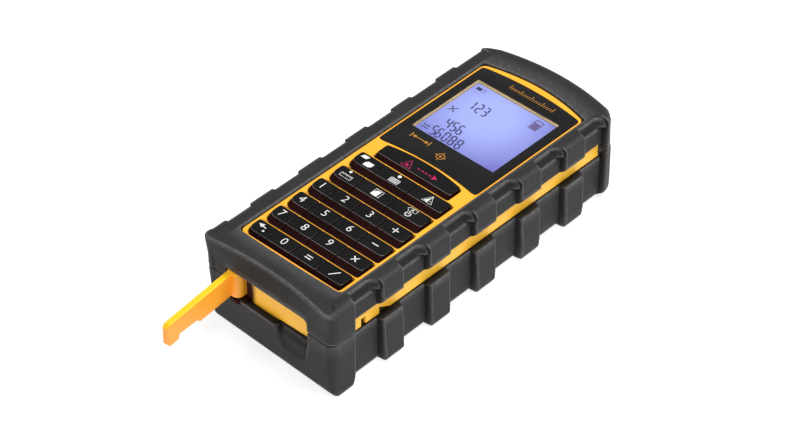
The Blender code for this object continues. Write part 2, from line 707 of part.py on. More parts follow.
def spring(word, side):
    """A cone spring between a cell's flat end and the holder's near wall."""
    curve = bpy.data.curves.new("spring", "CURVE")
    curve.dimensions = "3D"
    curve.bevel_depth = SPRING_WIRE * MM
    curve.bevel_resolution = 1
    curve.use_fill_caps = True
    spline = curve.splines.new("POLY")
    count = int(SPRING_TURNS * 9)
    spline.points.add(count)
    near = HOLDER_NEAR + 1 + GAP + SPRING_WIRE
    length = CELL_NEAR - NIPPLE_LENGTH - near - GAP - SPRING_WIRE
    for index, point in enumerate(spline.points):
        share = index / count
        angle = 2 * math.pi * SPRING_TURNS * share
        radius = SPRING_R + (SPRING_TIP_R - SPRING_R) * share
        point.co = ((side * CELL_X + radius * math.cos(angle)) * MM, (near + length * share) * MM,
                    (CELL_Z + radius * math.sin(angle)) * MM, 1)
    add_part(f"battery_spring_{word}", curve_mesh(curve, Matrix.Identity(4)), "steel")


def battery_door():
    plate = prism([rounded(-DOOR_X, DOOR_NEAR, DOOR_X, DOOR_FAR, 1.8)], *DOOR_Z)
    centre = Vector((0, (DOOR_NEAR + DOOR_FAR) / 2, DOOR_Z[0]))
    part = add_part("battery_door", plate, "black")
    lip = box((-DOOR_X + DOOR_LIP, DOOR_NEAR + DOOR_LIP, DOOR_Z[1] - 0.6),
              (DOOR_X - DOOR_LIP, DOOR_FAR - DOOR_LIP, DOOR_LIP_Z))
    hollow = box((-DOOR_X + DOOR_LIP + 1.2, DOOR_NEAR + DOOR_LIP + 1.2, DOOR_Z[1]),
                 (DOOR_X - DOOR_LIP - 1.2, DOOR_FAR - DOOR_LIP - 1.2, DOOR_LIP_Z + 1))
    thumb = prism([arc((0, DOOR_FAR - 8), 5, 180, 360, 10)], -1, DOOR_Z[0] + 0.7)
    join(part, add_cutter("door_lip", lip))
    cut(part, add_cutter("door_hollow", hollow), add_cutter("thumb_notch", thumb))
    pull = bpy.data.objects.new("battery_door_slide", None)
    pull.location = centre * MM
    CUTTERS.objects.link(pull)
    part.parent = pull
    part.matrix_parent_inverse = Matrix.Translation(-centre * MM)


def optics():
    low = OPTIC_Z - 7.6
    high = OPTIC_Z + 7.6
    block = prism([rounded(-HOLDER_HALF + 0.6, low, HOLDER_HALF - 0.6, high, 1.0, 2),
                   arc((EMITTER_X, OPTIC_Z), EMITTER_R + GAP, 360, 22, 15),
                   arc((RECEIVER_X, OPTIC_Z), RECEIVER_R + GAP, 360, 15, 23)],
                  OPTICS_NEAR, OPTICS_FAR, "Y")
    add_part("optics_holder", block, "black")
    emitter = turned([(0, 5.5), (EMITTER_R - 0.3, 5.5), (EMITTER_R, 5.2), (EMITTER_R, -8),
                      (2.0, -8.4), (0, -8.4)], (EMITTER_X, 60.0, OPTIC_Z), "Y", 20)
    flip = Matrix.Translation(Vector((2 * EMITTER_X, 2 * 60.0, 0)) * MM)
    emitter.transform(flip @ Matrix.Rotation(math.pi, 4, "Z"))
    add_part("laser_emitter", emitter, "brass")
    for name, x, radius, bulge in (("emitter_lens", EMITTER_X, EMITTER_R, 0.5),
                                   ("receiver_lens", RECEIVER_X, RECEIVER_R, 1.6)):
        face = [(radius * math.sin(math.radians(a)), bulge * math.cos(math.radians(a)))
                for a in (0, 30, 60, 90)]
        lens = turned(face + [(radius, -1.0), (0, -1.0)], (x, 0, OPTIC_Z), "Y", 24)
        turn = Matrix.Translation(Vector((2 * x, 2 * 33.3, 0)) * MM)
        lens.transform(turn @ Matrix.Rotation(math.pi, 4, "Z"))
        add_part(name, lens, "glass")
    receiver = box((RECEIVER_X - 8, 47.4, OPTIC_Z - 7.4), (RECEIVER_X + 8, 49.0, OPTIC_Z + 7.4))
    add_part("receiver_board", receiver, "board")
    sensor = rod(2.4, 49.0 + GAP, 52.0, (RECEIVER_X, OPTIC_Z), "Y", 16)
    add_part("photodiode", sensor, "steel")
    glass = prism([rounded(-GLASS_X, GLASS_Z[0], GLASS_X, GLASS_Z[1], 0.6, 2)], *GLASS_Y, "Y")
    add_part("front_window", glass, "glass")


def end_lever():
    """The arm and its barrel, square to the case, then leaned in about the pivot."""
    outer = -BARREL_R
    inner = outer + LEVER_THICK
    side = [(0, LEVER_LOW_Z), (0, LEVER_TOP_Z), (1.0 - LEVER_LENGTH, LEVER_TOP_Z),
            (-LEVER_LENGTH, LEVER_TOP_Z - 1.4), (-LEVER_LENGTH, LEVER_LOW_Z + 1.2),
            (0.9 - LEVER_LENGTH, LEVER_LOW_Z), (HOOK_LENGTH - LEVER_LENGTH, LEVER_LOW_Z),
            (HOOK_LENGTH + 0.6 - LEVER_LENGTH, LEVER_STEP_Z + 0.6), (-LEVER_STEP, LEVER_STEP_Z),
            (1.4 - LEVER_STEP, LEVER_LOW_Z)]
    arm = prism([side[::-1]], outer, inner, "X")
    part = add_part("end_lever", arm, "yellow")
    barrel = rod(BARREL_R, LEVER_LOW_Z, LEVER_TOP_Z, (0, 0), sides=24)
    bore = rod(PIN_R + GAP, LEVER_LOW_Z - 2, LEVER_TOP_Z + 2, (0, 0), sides=12)
    tools = [add_cutter("barrel", barrel), add_cutter("barrel_bore", bore)]
    join(part, tools[0])
    cut(part, tools[1])
    part.location = Vector((PIVOT_X, PIVOT_Y, 0)) * MM
    part.rotation_euler = (0, 0, math.radians(LEVER_LEAN))
    for tool in tools:
        tool.location = part.location
        tool.rotation_euler = part.rotation_euler
    pin = rod(PIN_R, PIN_LOW_Z, PIN_TOP_Z, (PIVOT_X, PIVOT_Y), sides=12)
    add_part("lever_pin", pin, "steel")


def case_screws():
    profile = [(0, SCREW_TIP_Z), (0.5, SCREW_TIP_Z), (SCREW_SHANK_R, SCREW_TIP_Z - 1.4),
               (SCREW_SHANK_R, 2.2), (SCREW_HEAD_R, 2.2), (SCREW_HEAD_R, 1.3),
               (SCREW_HEAD_R - 0.5, 0.9), (0, 0.9)]
    for index, (x, y) in enumerate(screw_spots()):
        part = add_part(f"case_screw_{index + 1}", turned(profile, (x, y, 0), steps=16), "steel")
        for turn, word in ((0, "a"), (90, "b")):
            slot = box((-1.5, -0.3, 0.0), (1.5, 0.3, 1.5))
            slot.transform(Matrix.Translation(Vector((x, y, 0)) * MM)
                           @ Matrix.Rotation(math.radians(turn + 20), 4, "Z"))
            cut(part, add_cutter(f"cross_{index}_{word}", slot))


clear_scene()
PARTS = new_collection("laser_distance_meter")
CUTTERS = new_collection("cutters")
upper_bumper()
lower_bumper()
front_housing()
rear_housing()
keys()
key_mat()
display()
board()
power()
battery_door()
optics()
end_lever()
case_screws()
for item in PARTS.objects:
    item.data.shade_smooth()
    item.data.set_sharp_from_angle(angle=math.radians(35))
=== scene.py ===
"""Looks for the laser distance meter: materials, moulded rubber, keys, legends and display.

Everything is in the row frame: the back on Z = 0, the display end towards +Y, the keypad up.
Sizes are in millimetres and the helpers turn them into metres.
"""

import math

import bmesh
import bpy
from mathutils import Matrix, Vector


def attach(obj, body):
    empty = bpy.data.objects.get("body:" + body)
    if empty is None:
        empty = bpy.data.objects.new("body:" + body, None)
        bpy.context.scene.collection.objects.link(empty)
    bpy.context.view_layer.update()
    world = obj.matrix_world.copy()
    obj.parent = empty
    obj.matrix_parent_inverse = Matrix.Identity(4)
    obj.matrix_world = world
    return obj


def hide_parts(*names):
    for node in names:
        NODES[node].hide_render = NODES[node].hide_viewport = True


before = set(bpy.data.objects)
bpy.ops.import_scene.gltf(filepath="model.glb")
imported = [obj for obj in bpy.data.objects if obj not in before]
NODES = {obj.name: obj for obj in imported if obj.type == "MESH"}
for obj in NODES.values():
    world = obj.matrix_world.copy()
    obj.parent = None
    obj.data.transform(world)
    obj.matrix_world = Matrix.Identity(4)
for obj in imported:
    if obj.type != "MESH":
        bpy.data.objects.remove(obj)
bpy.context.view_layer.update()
MM = 0.001

ROOT = "meter_body"
LEVER = "lever"


# ---------------------------------------------------------------- mesh helpers

def mesh_piece(name, mesh, looks, body, nodes=()):
    """A mesh as a piece of the object, riding on a body and standing for CAD nodes."""
    piece = bpy.data.objects.new(name, mesh)
    bpy.context.scene.collection.objects.link(piece)
    for look in looks:
        mesh.materials.append(look)
    if nodes:
        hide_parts(*nodes)
    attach(piece, body)
    return piece


def new_mesh(name, points, faces):
    """A mesh from points in millimetres."""
    mesh = bpy.data.meshes.new(name)
    mesh.from_pydata([tuple(c * MM for c in point) for point in points], [], faces)
    mesh.update()
    return mesh


def smooth(mesh, angle=35):
    mesh.shade_smooth()
    mesh.set_sharp_from_angle(angle=math.radians(angle))
    return mesh


def weld(mesh, distance=0.000005):
    work = bmesh.new()
    work.from_mesh(mesh)
    bmesh.ops.remove_doubles(work, verts=work.verts, dist=distance)
    bmesh.ops.recalc_face_normals(work, faces=work.faces)
    work.to_mesh(mesh)
    work.free()
    return mesh


def evaluated_mesh(maker, placement=None):
    """The final mesh of a curve, text or mesh object, which is then removed."""
    bpy.context.scene.collection.objects.link(maker)
    graph = bpy.context.evaluated_depsgraph_get()
    mesh = bpy.data.meshes.new_from_object(maker.evaluated_get(graph))
    if placement:
        mesh.transform(placement)
    bpy.data.objects.remove(maker, do_unlink=True)
    return mesh


AXIS_TURNS = {
    "Z": Matrix.Identity(4),
    "Y": Matrix(((1, 0, 0, 0), (0, 0, -1, 0), (0, 1, 0, 0), (0, 0, 0, 1))),
    "X": Matrix(((0, 0, 1, 0), (1, 0, 0, 0), (0, 1, 0, 0), (0, 0, 0, 1))),
}


def plate(outlines, low, high, axis="Z", edge=0.0, steps=2):
    """Flat outlines (the first one outside, the rest holes) extruded, with rounded edges."""
    curve = bpy.data.curves.new("outline", "CURVE")
    curve.dimensions = "2D"
    curve.fill_mode = "BOTH"
    curve.extrude = ((high - low) / 2 - edge) * MM
    curve.bevel_depth = edge * MM
    curve.bevel_resolution = steps
    curve.offset = -edge * MM
    for outline in outlines:
        spline = curve.splines.new("POLY")
        spline.points.add(len(outline) - 1)
        for point, (across, along) in zip(spline.points, outline):
            point.co = (across * MM, along * MM, 0, 1)
        spline.use_cyclic_u = True
    shift = Vector([0, 0, 0])
    shift["XYZ".index(axis)] = (low + high) / 2 * MM
    maker = bpy.data.objects.new("outline", curve)
    mesh = evaluated_mesh(maker, Matrix.Translation(shift) @ AXIS_TURNS[axis])
    return smooth(weld(mesh))


def lofted(rings, black_from=None):
    """A solid through closed rings of equal length, capped at both ends.

    Faces whose ring index is at least black_from take the second material.
    """
    count = len(rings[0])
    points = [point for ring in rings for point in ring]
    faces = []
    for level in range(len(rings) - 1):
        for index in range(count):
            after = (index + 1) % count
            faces.append((level * count + index, level * count + after,
                          (level + 1) * count + after, (level + 1) * count + index))
    faces.append(tuple(reversed(range(count))))
    faces.append(tuple((len(rings) - 1) * count + index for index in range(count)))
    mesh = new_mesh("loft", points, faces)
    if black_from is not None:
        for face in mesh.polygons:
            level = face.index // count
            face.material_index = int(level >= black_from and face.index != len(faces) - 2)
    return mesh


def joined(meshes):
    """Several meshes as one."""
    work = bmesh.new()
    for mesh in meshes:
        work.from_mesh(mesh)
        bpy.data.meshes.remove(mesh)
    result = bpy.data.meshes.new("joined")
    work.to_mesh(result)
    work.free()
    return result


def arc(centre, radius, start, end, steps):
    points = []
    for step in range(steps + 1):
        angle = math.radians(start + (end - start) * step / steps)
        points.append((centre[0] + radius * math.cos(angle),
                       centre[1] + radius * math.sin(angle)))
    return points


def rounded(left, near, right, far, radius, steps=5):
    return (arc((right - radius, near + radius), radius, -90, 0, steps)
            + arc((right - radius, far - radius), radius, 0, 90, steps)
            + arc((left + radius, far - radius), radius, 90, 180, steps)
            + arc((left + radius, near + radius), radius, 180, 270, steps))


def crowned(half, near, far, radius, near_crown, far_crown, steps=6, end_steps=28):
    """A rounded rectangle whose ends bulge by a crown at the middle."""
    corners = rounded(-half, near, half, far, radius, steps)
    quarter = steps + 1
    inner = half - radius
    across = [-inner + 2 * inner * step / end_steps for step in range(1, end_steps)]
    flat = ([(x, near) for x in across] + corners[:2 * quarter]
            + [(x, far) for x in reversed(across)] + corners[2 * quarter:])
    middle = (near + far) / 2
    points = []
    for x, y in flat:
        swell = 1 - (x / half) ** 2
        points.append((x, y + far_crown * swell if y > middle else y - near_crown * swell))
    return points


def ease(value):
    """Smooth step from 0 to 1."""
    value = max(0.0, min(1.0, value))
    return value * value * (3 - 2 * value)


def mix(first, second, share):
    return first + (second - first) * share


# ---------------------------------------------------------------- materials

class Look:
    """A material with a Principled shader, and the nodes that feed it."""

    def __init__(self, name, colour, roughness, metallic=0.0):
        self.material = bpy.data.materials.new(name)
        self.material.use_nodes = True
        self.material.diffuse_color = (*colour, 1)
        self.tree = self.material.node_tree
        self.surface = self.tree.nodes["Principled BSDF"]
        self.feed({"Base Color": (*colour, 1), "Roughness": roughness, "Metallic": metallic})

    def put(self, node, inputs):
        """Sets sockets to a number or colour, or links them from another node."""
        for name, value in inputs.items():
            if isinstance(value, bpy.types.NodeSocket):
                self.tree.links.new(value, node.inputs[name])
            else:
                node.inputs[name].default_value = value

    def feed(self, inputs):
        self.put(self.surface, inputs)

    def node(self, kind, inputs, output, **settings):
        made = self.tree.nodes.new("ShaderNode" + kind)
        for name, value in settings.items():
            setattr(made, name, value)
        self.put(made, inputs)
        return made.outputs[output]

    def noise(self, scale, detail=4.0, roughness=0.55):
        """Noise over the object's own coordinates; scale is in features per metre."""
        place = self.node("TexCoord", {}, "Object")
        return self.node("TexNoise", {"Vector": place, "Scale": scale, "Detail": detail,
                                      "Roughness": roughness}, "Fac")

    def ramp(self, value, low, high, first, second):
        """A colour ramp between two colours over part of a value's range."""
        step = self.tree.nodes.new("ShaderNodeValToRGB")
        ends = step.color_ramp.elements
        ends[0].position, ends[1].position = low, high
        ends[0].color, ends[1].color = (*first, 1), (*second, 1)
        self.put(step, {"Fac": value})
        return step.outputs["Color"]

    def span(self, value, low, high, start=0.3, stop=0.7, kind="LINEAR"):
        """Maps part of a value's range (the middle, as noise has it) onto other numbers."""
        return self.node("MapRange", {"Value": value, "From Min": start, "From Max": stop,
                                      "To Min": low, "To Max": high}, "Result",
                         interpolation_type=kind)

    def distance(self, shift, stretch=(1.0, 1.0, 1.0)):
        """Length of the object's own coordinates after a stretch and a shift."""
        place = self.node("TexCoord", {}, "Object")
        moved = self.node("Mapping", {"Vector": place, "Location": shift, "Scale": stretch},
                          "Vector")
        return self.node("VectorMath", {0: moved}, "Value", operation="LENGTH")

    def blend(self, factor, first, shade):
        """Mixes a colour socket with a colour or another colour socket."""
        if isinstance(shade, tuple):
            plain = self.tree.nodes.new("ShaderNodeRGB")
            plain.outputs[0].default_value = (*shade, 1)
            shade = plain.outputs[0]
        return self.node("Mix", {"Factor": factor, "A": first, "B": shade}, "Result",
                         data_type="RGBA")

    def painted(self, name, low, high):
        """A number stored on the mesh, scaled by a patchy noise."""
        stored = self.node("Attribute", {}, "Fac", attribute_name=name)
        scuff = self.span(self.noise(700.0, 6.0, 0.7), low, high)
        return self.node("Math", {0: stored, 1: scuff}, 0, operation="MULTIPLY")

    def bump(self, height, depth, strength=1.0):
        self.feed({"Normal": self.node("Bump", {"Strength": strength, "Distance": depth,
                                                "Height": height}, "Normal")})


def rubber_look():
    """Matt moulded rubber: fine grain, cloudy tone, edges painted paler where worn and as painted
    highlight, creases and shaded ledges painted dark as painted shade.
    """
    look = Look("rubber", (0.03, 0.03, 0.031), 0.7)
    cloud = look.noise(90.0, 5.0)
    tone = look.ramp(cloud, 0.32, 0.68, (0.018, 0.018, 0.019), (0.027, 0.0266, 0.027))
    # Pale: worn edges and painted highlight; near black: painted shade in creases and on shaded
    # ledges.
    for amount, shade in ((look.span(look.noise(1700.0, 2.0), 0.0, 0.6), (0.042, 0.0415, 0.042)),
                          (look.painted("wear_and_highlight", 0.25, 1.0), (0.135, 0.134, 0.134)),
                          (look.painted("crease_shade", 0.8, 1.0), (0.0035, 0.003, 0.003))):
        tone = look.blend(amount, tone, shade)
    look.feed({"Base Color": tone, "Roughness": look.span(cloud, 0.5, 0.64),
               "Specular IOR Level": 0.18})
    look.bump(look.noise(2100.0, 3.0), 0.00011, 0.8)
    return look.material


def moulded_look(name, dark, light, low, high, grain_scale=2500.0, grain=0.00002, shine=0.5):
    """Moulded plastic: slightly uneven tone and gloss over a fine texture."""
    look = Look(name, light, high)
    cloud = look.noise(60.0, 4.0)
    look.feed({"Specular IOR Level": shine, "Roughness": look.span(cloud, low, high),
               "Base Color": look.ramp(cloud, 0.3, 0.7, dark, light)})
    look.bump(look.noise(grain_scale, 3.0), grain, 0.6)
    return look.material


def amber_look(name, sides, tops, shade_spot=None):
    """Translucent amber plastic: its colour where it faces up (paler on the lever) is painted
    light, with painted shade round the hinge and a faint painted glow.
    """
    look = Look(name, (0.95, 0.6, 0.04), 0.38)
    cloud = look.noise(60.0, 4.0)
    # Painted light: faces take the top colours as they turn up, the side colours as they turn away.
    facing = look.node("NewGeometry", {}, "Normal")
    height = look.node("SeparateXYZ", {"Vector": facing}, "Z")
    tone = look.blend(look.span(height, 0.0, 1.0, 0.1, 0.8),
                      look.ramp(cloud, 0.3, 0.7, *sides), look.ramp(cloud, 0.3, 0.7, *tops))
    # Painted shade round the hinge: the colour darkens and the gloss drops near a spot given in mm.
    if shade_spot:
        place, near, far = shade_spot
        reach = look.distance([-part * MM for part in place], (1.0, 1.0, 0.35))
        hinge_shade = look.span(reach, 1.0, 0.0, near * MM, far * MM, "SMOOTHSTEP")
        tone = look.blend(hinge_shade, tone, (0.022, 0.002, 0.0015))
        look.feed({"Specular IOR Level": look.span(hinge_shade, 0.4, 0.05, 0.0, 1.0)})
    # The emission is a painted glow: the plastic gives off its own colour though it is no lamp.
    look.feed({"Base Color": tone, "Emission Color": tone, "Emission Strength": 0.16,
               "Roughness": look.span(cloud, 0.3, 0.42)})
    look.bump(look.noise(2500.0, 3.0), 0.00002, 0.6)
    return look.material


def metal_look(name, colour, low, high):
    """Plated or turned metal with fine drawn streaks."""
    look = Look(name, colour, high, 1.0)
    streak = look.noise(1500.0, 5.0, 0.7)
    dark = tuple(0.7 * c for c in colour)
    look.feed({"Base Color": look.ramp(streak, 0.3, 0.7, dark, colour),
               "Roughness": look.span(streak, low, high)})
    look.bump(streak, 0.00001, 0.4)
    return look.material


def glass_look(name, colour, through):
    """Clear or tinted optical glass."""
    look = Look(name, colour, 0.03)
    look.feed({"Transmission Weight": through, "IOR": 1.49,
               "Roughness": look.span(look.noise(120.0, 3.0), 0.02, 0.06)})
    return look.material


def glow_look():
    """Backlit liquid crystal: bluer and brighter towards the middle, violet at the rim."""
    look = Look("lcd_glow", (0.3, 0.34, 0.8), 0.3)
    reach = look.distance((0.003, -0.039, -0.034))
    tone = look.ramp(look.span(reach, 0.0, 1.0, 0.0, 0.031), 0.3, 1.0,
                     (0.38, 0.44, 0.83), (0.15, 0.15, 0.52))
    look.feed({"Base Color": tone, "Emission Color": tone, "Emission Strength": 0.45})
    look.bump(look.noise(5000.0, 1.0), 0.000004, 0.3)
    return look.material


def board_look():
    look = Look("circuit_board", (0.02, 0.16, 0.06), 0.4)
    place = look.node("TexCoord", {}, "Object")
    tracks = look.node("TexVoronoi", {"Vector": place, "Scale": 500.0}, "Distance")
    look.feed({"Base Color": look.ramp(tracks, 0.2, 0.6, (0.03, 0.24, 0.1),
                                       (0.012, 0.11, 0.04))})
    look.bump(tracks, 0.00003, 0.5)
    return look.material


RUBBER = rubber_look()
# Side and top colour pairs of each amber; the change between them by facing is painted light.
LEVER_SIDE = ((0.97, 0.36, 0.02), (1.0, 0.42, 0.03))
LEVER_TOP = ((0.98, 0.54, 0.012), (1.0, 0.60, 0.018))
CASE_SIDE = ((0.98, 0.50, 0.03), (1.0, 0.57, 0.04))
CASE_TOP = ((0.93, 0.40, 0.028), (1.0, 0.46, 0.038))
YELLOW = amber_look("amber_lever", LEVER_SIDE, LEVER_TOP)
# Case and rear housings add painted shade round the hinge: spot in mm, full within the first reach,
# none past the second.
CASE_YELLOW = amber_look("amber_case", CASE_SIDE, CASE_TOP, ((-13.2, -72.6, 7.0), 2.2, 4.8))
REAR_YELLOW = amber_look("amber_rear", CASE_SIDE, CASE_TOP, ((-17.3, -72.9, 5.6), 4.6, 6.0))
KEY_BLACK = moulded_look("key_black", (0.004, 0.004, 0.0045), (0.007, 0.007, 0.0075), 0.2, 0.3,
                         shine=0.3)
# Pale grey painted as a highlight along each key's near top edge.
KEY_EDGE_HIGHLIGHT = moulded_look("key_edge_highlight", (0.05, 0.045, 0.045), (0.26, 0.24, 0.24), 0.3, 0.4)
KEY_WALL = moulded_look("key_red_brown", (0.010, 0.0012, 0.001), (0.020, 0.0028, 0.002),
                        0.6, 0.75, shine=0.08)
# Dark trim; round the key rows and the window it is painted shade standing for the gaps.
DARK_TRIM_AND_GAP_SHADE = moulded_look("dark_trim_and_gap_shade", (0.012, 0.004, 0.003), (0.022, 0.007, 0.005), 0.55, 0.7,
                         shine=0.2)
SILICONE = moulded_look("silicone", (0.04, 0.008, 0.006), (0.07, 0.014, 0.01), 0.5, 0.65, shine=0.2)
LENS_PRINT = moulded_look("lens_print", (0.007, 0.007, 0.007), (0.0095, 0.0095, 0.0095),
                          0.08, 0.13, 800.0, 0.000002)
LENS_CLEAR = glass_look("lens_clear", (0.97, 0.98, 1.0), 1.0)
OPTIC = glass_look("optic_glass", (0.8, 0.9, 0.95), 0.9)
TINTED = glass_look("window_glass", (0.10, 0.015, 0.02), 0.6)
GOLD = moulded_look("frame_gold", (0.66, 0.45, 0.19), (0.80, 0.58, 0.27), 0.4, 0.55)
GLOW = glow_look()
LCD_INK = moulded_look("lcd_ink", (0.016, 0.016, 0.17), (0.024, 0.024, 0.22), 0.4, 0.5,
                       shine=0.2)
LCD_VIOLET = moulded_look("lcd_violet", (0.09, 0.015, 0.12), (0.12, 0.025, 0.16), 0.4, 0.5,
                          shine=0.2)
WHITE_INK = moulded_look("legend_white", (0.78, 0.78, 0.76), (0.9, 0.9, 0.88), 0.4, 0.5)
CRIMSON_INK = moulded_look("legend_crimson", (0.48, 0.008, 0.09), (0.62, 0.014, 0.13), 0.4, 0.5)
ORANGE_INK = moulded_look("print_orange", (0.50, 0.20, 0.02), (0.62, 0.27, 0.03), 0.4, 0.5)
DIFFUSER = moulded_look("diffuser", (0.7, 0.72, 0.8), (0.8, 0.82, 0.9), 0.5, 0.6)
BLACK_PLASTIC = moulded_look("black_plastic", (0.018, 0.018, 0.019), (0.03, 0.03, 0.031),
                             0.5, 0.62, 2200.0, 0.00004)
CELL_JACKET = moulded_look("cell_jacket", (0.05, 0.07, 0.12), (0.09, 0.11, 0.16), 0.28, 0.36)
STEEL = metal_look("plated_steel", (0.62, 0.62, 0.63), 0.22, 0.38)
BRASS = metal_look("turned_brass", (0.72, 0.5, 0.2), 0.25, 0.4)
BOARD = board_look()


# ---------------------------------------------------------------- rubber bumper

NEAR_END = -75.4
FAR_END = 71.4
NEAR_CORNER = 3.4
FAR_CORNER = 5.0
SIDE_START = NEAR_END + NEAR_CORNER
SIDE_END = FAR_END - FAR_CORNER
GAP_NEAR = -64.2
GAP_FAR = 66.0
RIB_FIRST_FAR = -40.8
RIB_PITCH = 23.7
RIB_LENGTH = 10.8
RIB_COUNT = 5
RIB_SLANT = 1.5              # how far a rib's near flank leans in towards the foot
FLANK = 0.7                  # length over which a flank turns
SCOOP_END = 3.4              # the scoop runs out over this length at its far end
SCOOP_LEVELS = 9             # levels of the profile that the scoop reaches down
SLOT_LEFT = -21.1
SLOT_RIGHT = 18.6
SLOT_TOP = 27.9
SLOT_CLIMB = 0.02            # the slot's upper edge climbs a little to the right
SLOT_LOW = 16.9
PORT_X = 15.5
PORT_LOW = 9.2
PORT_TOP = 24.8
SEAM = 23.4                  # where the two shells meet
LOW_TOP = 23.1               # top of the lower shell at the ends
FOOT_SOFT = 4.5              # the foot's rounding starts below this height
SLOT_SQUARE = 21.4           # half width of the slot's square room
RIM_TOP = 37.6
CEILING = 35.5
FLOOR = 2.2
NEAR_SKEW = -0.0345          # the near face is a little out of square
FAR_SKEW = 0.007
FAR_LEAN = 0.75              # how far the far end leans in at the top
LEFT_SHIFT = -1.2            # the left side's ribs sit a little nearer
NEAR_FLARE = 0.95            # the near left corner swells outward
FAR_TUCK = 0.55              # the far corners are drawn in

# Half width, near end, far end, near and far corner radius, near and far crown
OUTER = (30.6, NEAR_END, FAR_END, NEAR_CORNER, FAR_CORNER, 0.0, 5.0)
POCKET = (26.0, -72.3, 68.3, 4.0, 4.0, 0.5, 4.3)
WINDOW = (24.0, -65.1, 60.6, 2.0, 1.0, 0.3, 3.8)
SUPPORT = (25.0, -70.6, 67.4, 1.0, 1.0, 0.5, 4.0)


def rib_spans(part="right"):
    spans = []
    for rib in range(RIB_COUNT):
        far = RIB_FIRST_FAR + RIB_PITCH * rib
        short = 0.04 * max(0.0, far + 4) if part == "left" else 0.0
        spans.append((far - RIB_LENGTH, far - min(1.1, short)))
    return spans


def far_gap(part):
    """Where the last panel of a side meets the far pillar."""
    return GAP_FAR + 1.7 if part == "left" else GAP_FAR


def stations(edges, low, high, coarse, fine=(-0.9, -0.6, -0.4, -0.2, 0, 0.2, 0.4, 0.6, 0.9)):
    """Sorted places along one side: close together at the edges, coarse between."""
    count = round((high - low) / coarse)
    places = [low + (high - low) * step / count for step in range(count + 1)]
    close = [edge + offset for edge in edges for offset in fine]
    kept = [place for place in places if all(abs(place - spot) > 0.3 for spot in close)
            or place in (low, high)]
    return sorted(set(kept + [spot for spot in close if low < spot < high]))


def guide_point(guide, part, share):
    """A point of an outline: which of its eight stretches, and how far along it."""
    half, near, far, near_radius, far_radius, near_crown, far_crown = guide
    radius = far_radius if part.startswith("far") else near_radius
    inner = half - radius
    if part in ("right", "left"):
        y = mix(near + near_radius, far - far_radius, share)
        x = half if part == "right" else -half
    elif part in ("far", "near"):
        x = mix(-inner, inner, share)
        y = far if part == "far" else near
    else:
        across, along = part.split("_")
        centre_x = inner if along == "right" else -inner
        centre_y = far - radius if across == "far" else near + radius
        start = {"far_right": 0, "far_left": 90, "near_left": 180, "near_right": 270}[part]
        angle = math.radians(start + 90 * share)
        x = centre_x + radius * math.cos(angle)
        y = centre_y + radius * math.sin(angle)
    swell = 1 - (x / half) ** 2
    y += far_crown * swell if y > 0 else -near_crown * swell
    return Vector((x, y))


def skewed(point):
    """Turns the two ends of the outer guide slightly out of square."""
    near = NEAR_SKEW * point.x * ease((-60 - point.y) / 12)
    far = FAR_SKEW * point.x * ease((point.y - 54) / 14)
    return Vector((point.x, point.y + near + far))


def support_point(part, share, outer):
    """A point on the flat rim between the window and the shoulder."""
    if part not in ("right", "left"):
        return guide_point(SUPPORT, part, share)
    y = outer.y if outer.y > -68 else -68 + (outer.y + 68) * 0.4
    return Vector((math.copysign(SUPPORT[0], outer.x), y))


def pocket_point(part, share, outer):
    """A point of the room for the case; square behind the near end's slot."""
    if part != "near":
        return guide_point(POCKET, part, share)
    x = abs(outer.x)
    if x > SLOT_SQUARE:
        left_over = OUTER[0] - NEAR_CORNER - SLOT_SQUARE
        x = SLOT_SQUARE + (x - SLOT_SQUARE) * 0.6 / left_over
    bulge = POCKET[5] * (1 - (x / POCKET[0]) ** 2)
    return Vector((math.copysign(x, outer.x), POCKET[1] - bulge))


def bumper_columns():
    """Stations all round the bumper, counter-clockwise from above, with their guides."""
    flanks = [GAP_NEAR, GAP_FAR] + [edge for span in rib_spans() for edge in span]
    scoop = [near - SCOOP_END * share for near, _far in rib_spans() for share in (0.35, 0.7, 1)]
    side = stations(flanks, SIDE_START, SIDE_END, 1.4)
    side = sorted(set(side + [spot for spot in scoop
                              if all(abs(spot - other) > 0.25 for other in side)]))
    left_edges = [GAP_NEAR, far_gap("left")] + [edge for span in rib_spans("left")
                                                for edge in span]
    left = stations([edge + LEFT_SHIFT for edge in left_edges], SIDE_START, SIDE_END, 1.4)
    tight = (-0.6, -0.3, -0.03, 0.03, 0.3, 0.6, 1.0, 1.5, 2.0)
    near_half, far_half = OUTER[0] - NEAR_CORNER, OUTER[0] - FAR_CORNER
    near = stations([SLOT_LEFT], -near_half, near_half, 0.55, tight)
    near = sorted(set([x for x in near if abs(x - SLOT_RIGHT) > 2.2]
                      + [SLOT_RIGHT - offset for offset in tight]))
    far = stations([-PORT_X, PORT_X], -far_half, far_half, 1.2, (-0.6, -0.3, -0.03, 0.03, 0.3, 0.6))
    corner = [step / 9 for step in range(1, 9)]
    columns = []

    def add(part, places, low, high, backwards=False):
        ordered = list(reversed(places)) if backwards else places
        for place in ordered:
            share = (place - low) / (high - low)
            outer = skewed(guide_point(OUTER, part, share))
            spot = place - LEFT_SHIFT if part == "left" else place
            columns.append({"part": part, "at": spot, "outer": outer,
                            "support": support_point(part, share, outer),
                            "pocket": pocket_point(part, share, outer),
                            "window": guide_point(WINDOW, part, share)})

    add("right", side, SIDE_START, SIDE_END)
    add("far_right", corner, 0, 1)
    add("far", far, -far_half, far_half, True)
    add("far_left", corner, 0, 1)
    add("left", left, SIDE_START, SIDE_END, True)
    add("near_left", corner, 0, 1)
    add("near", near, -near_half, near_half)
    add("near_right", corner, 0, 1)
    for index, column in enumerate(columns):
        before = columns[index - 1]["outer"]
        after = columns[(index + 1) % len(columns)]["outer"]
        run = (after - before).normalized()
        column["inward"] = Vector((-run.y, run.x))
    return columns


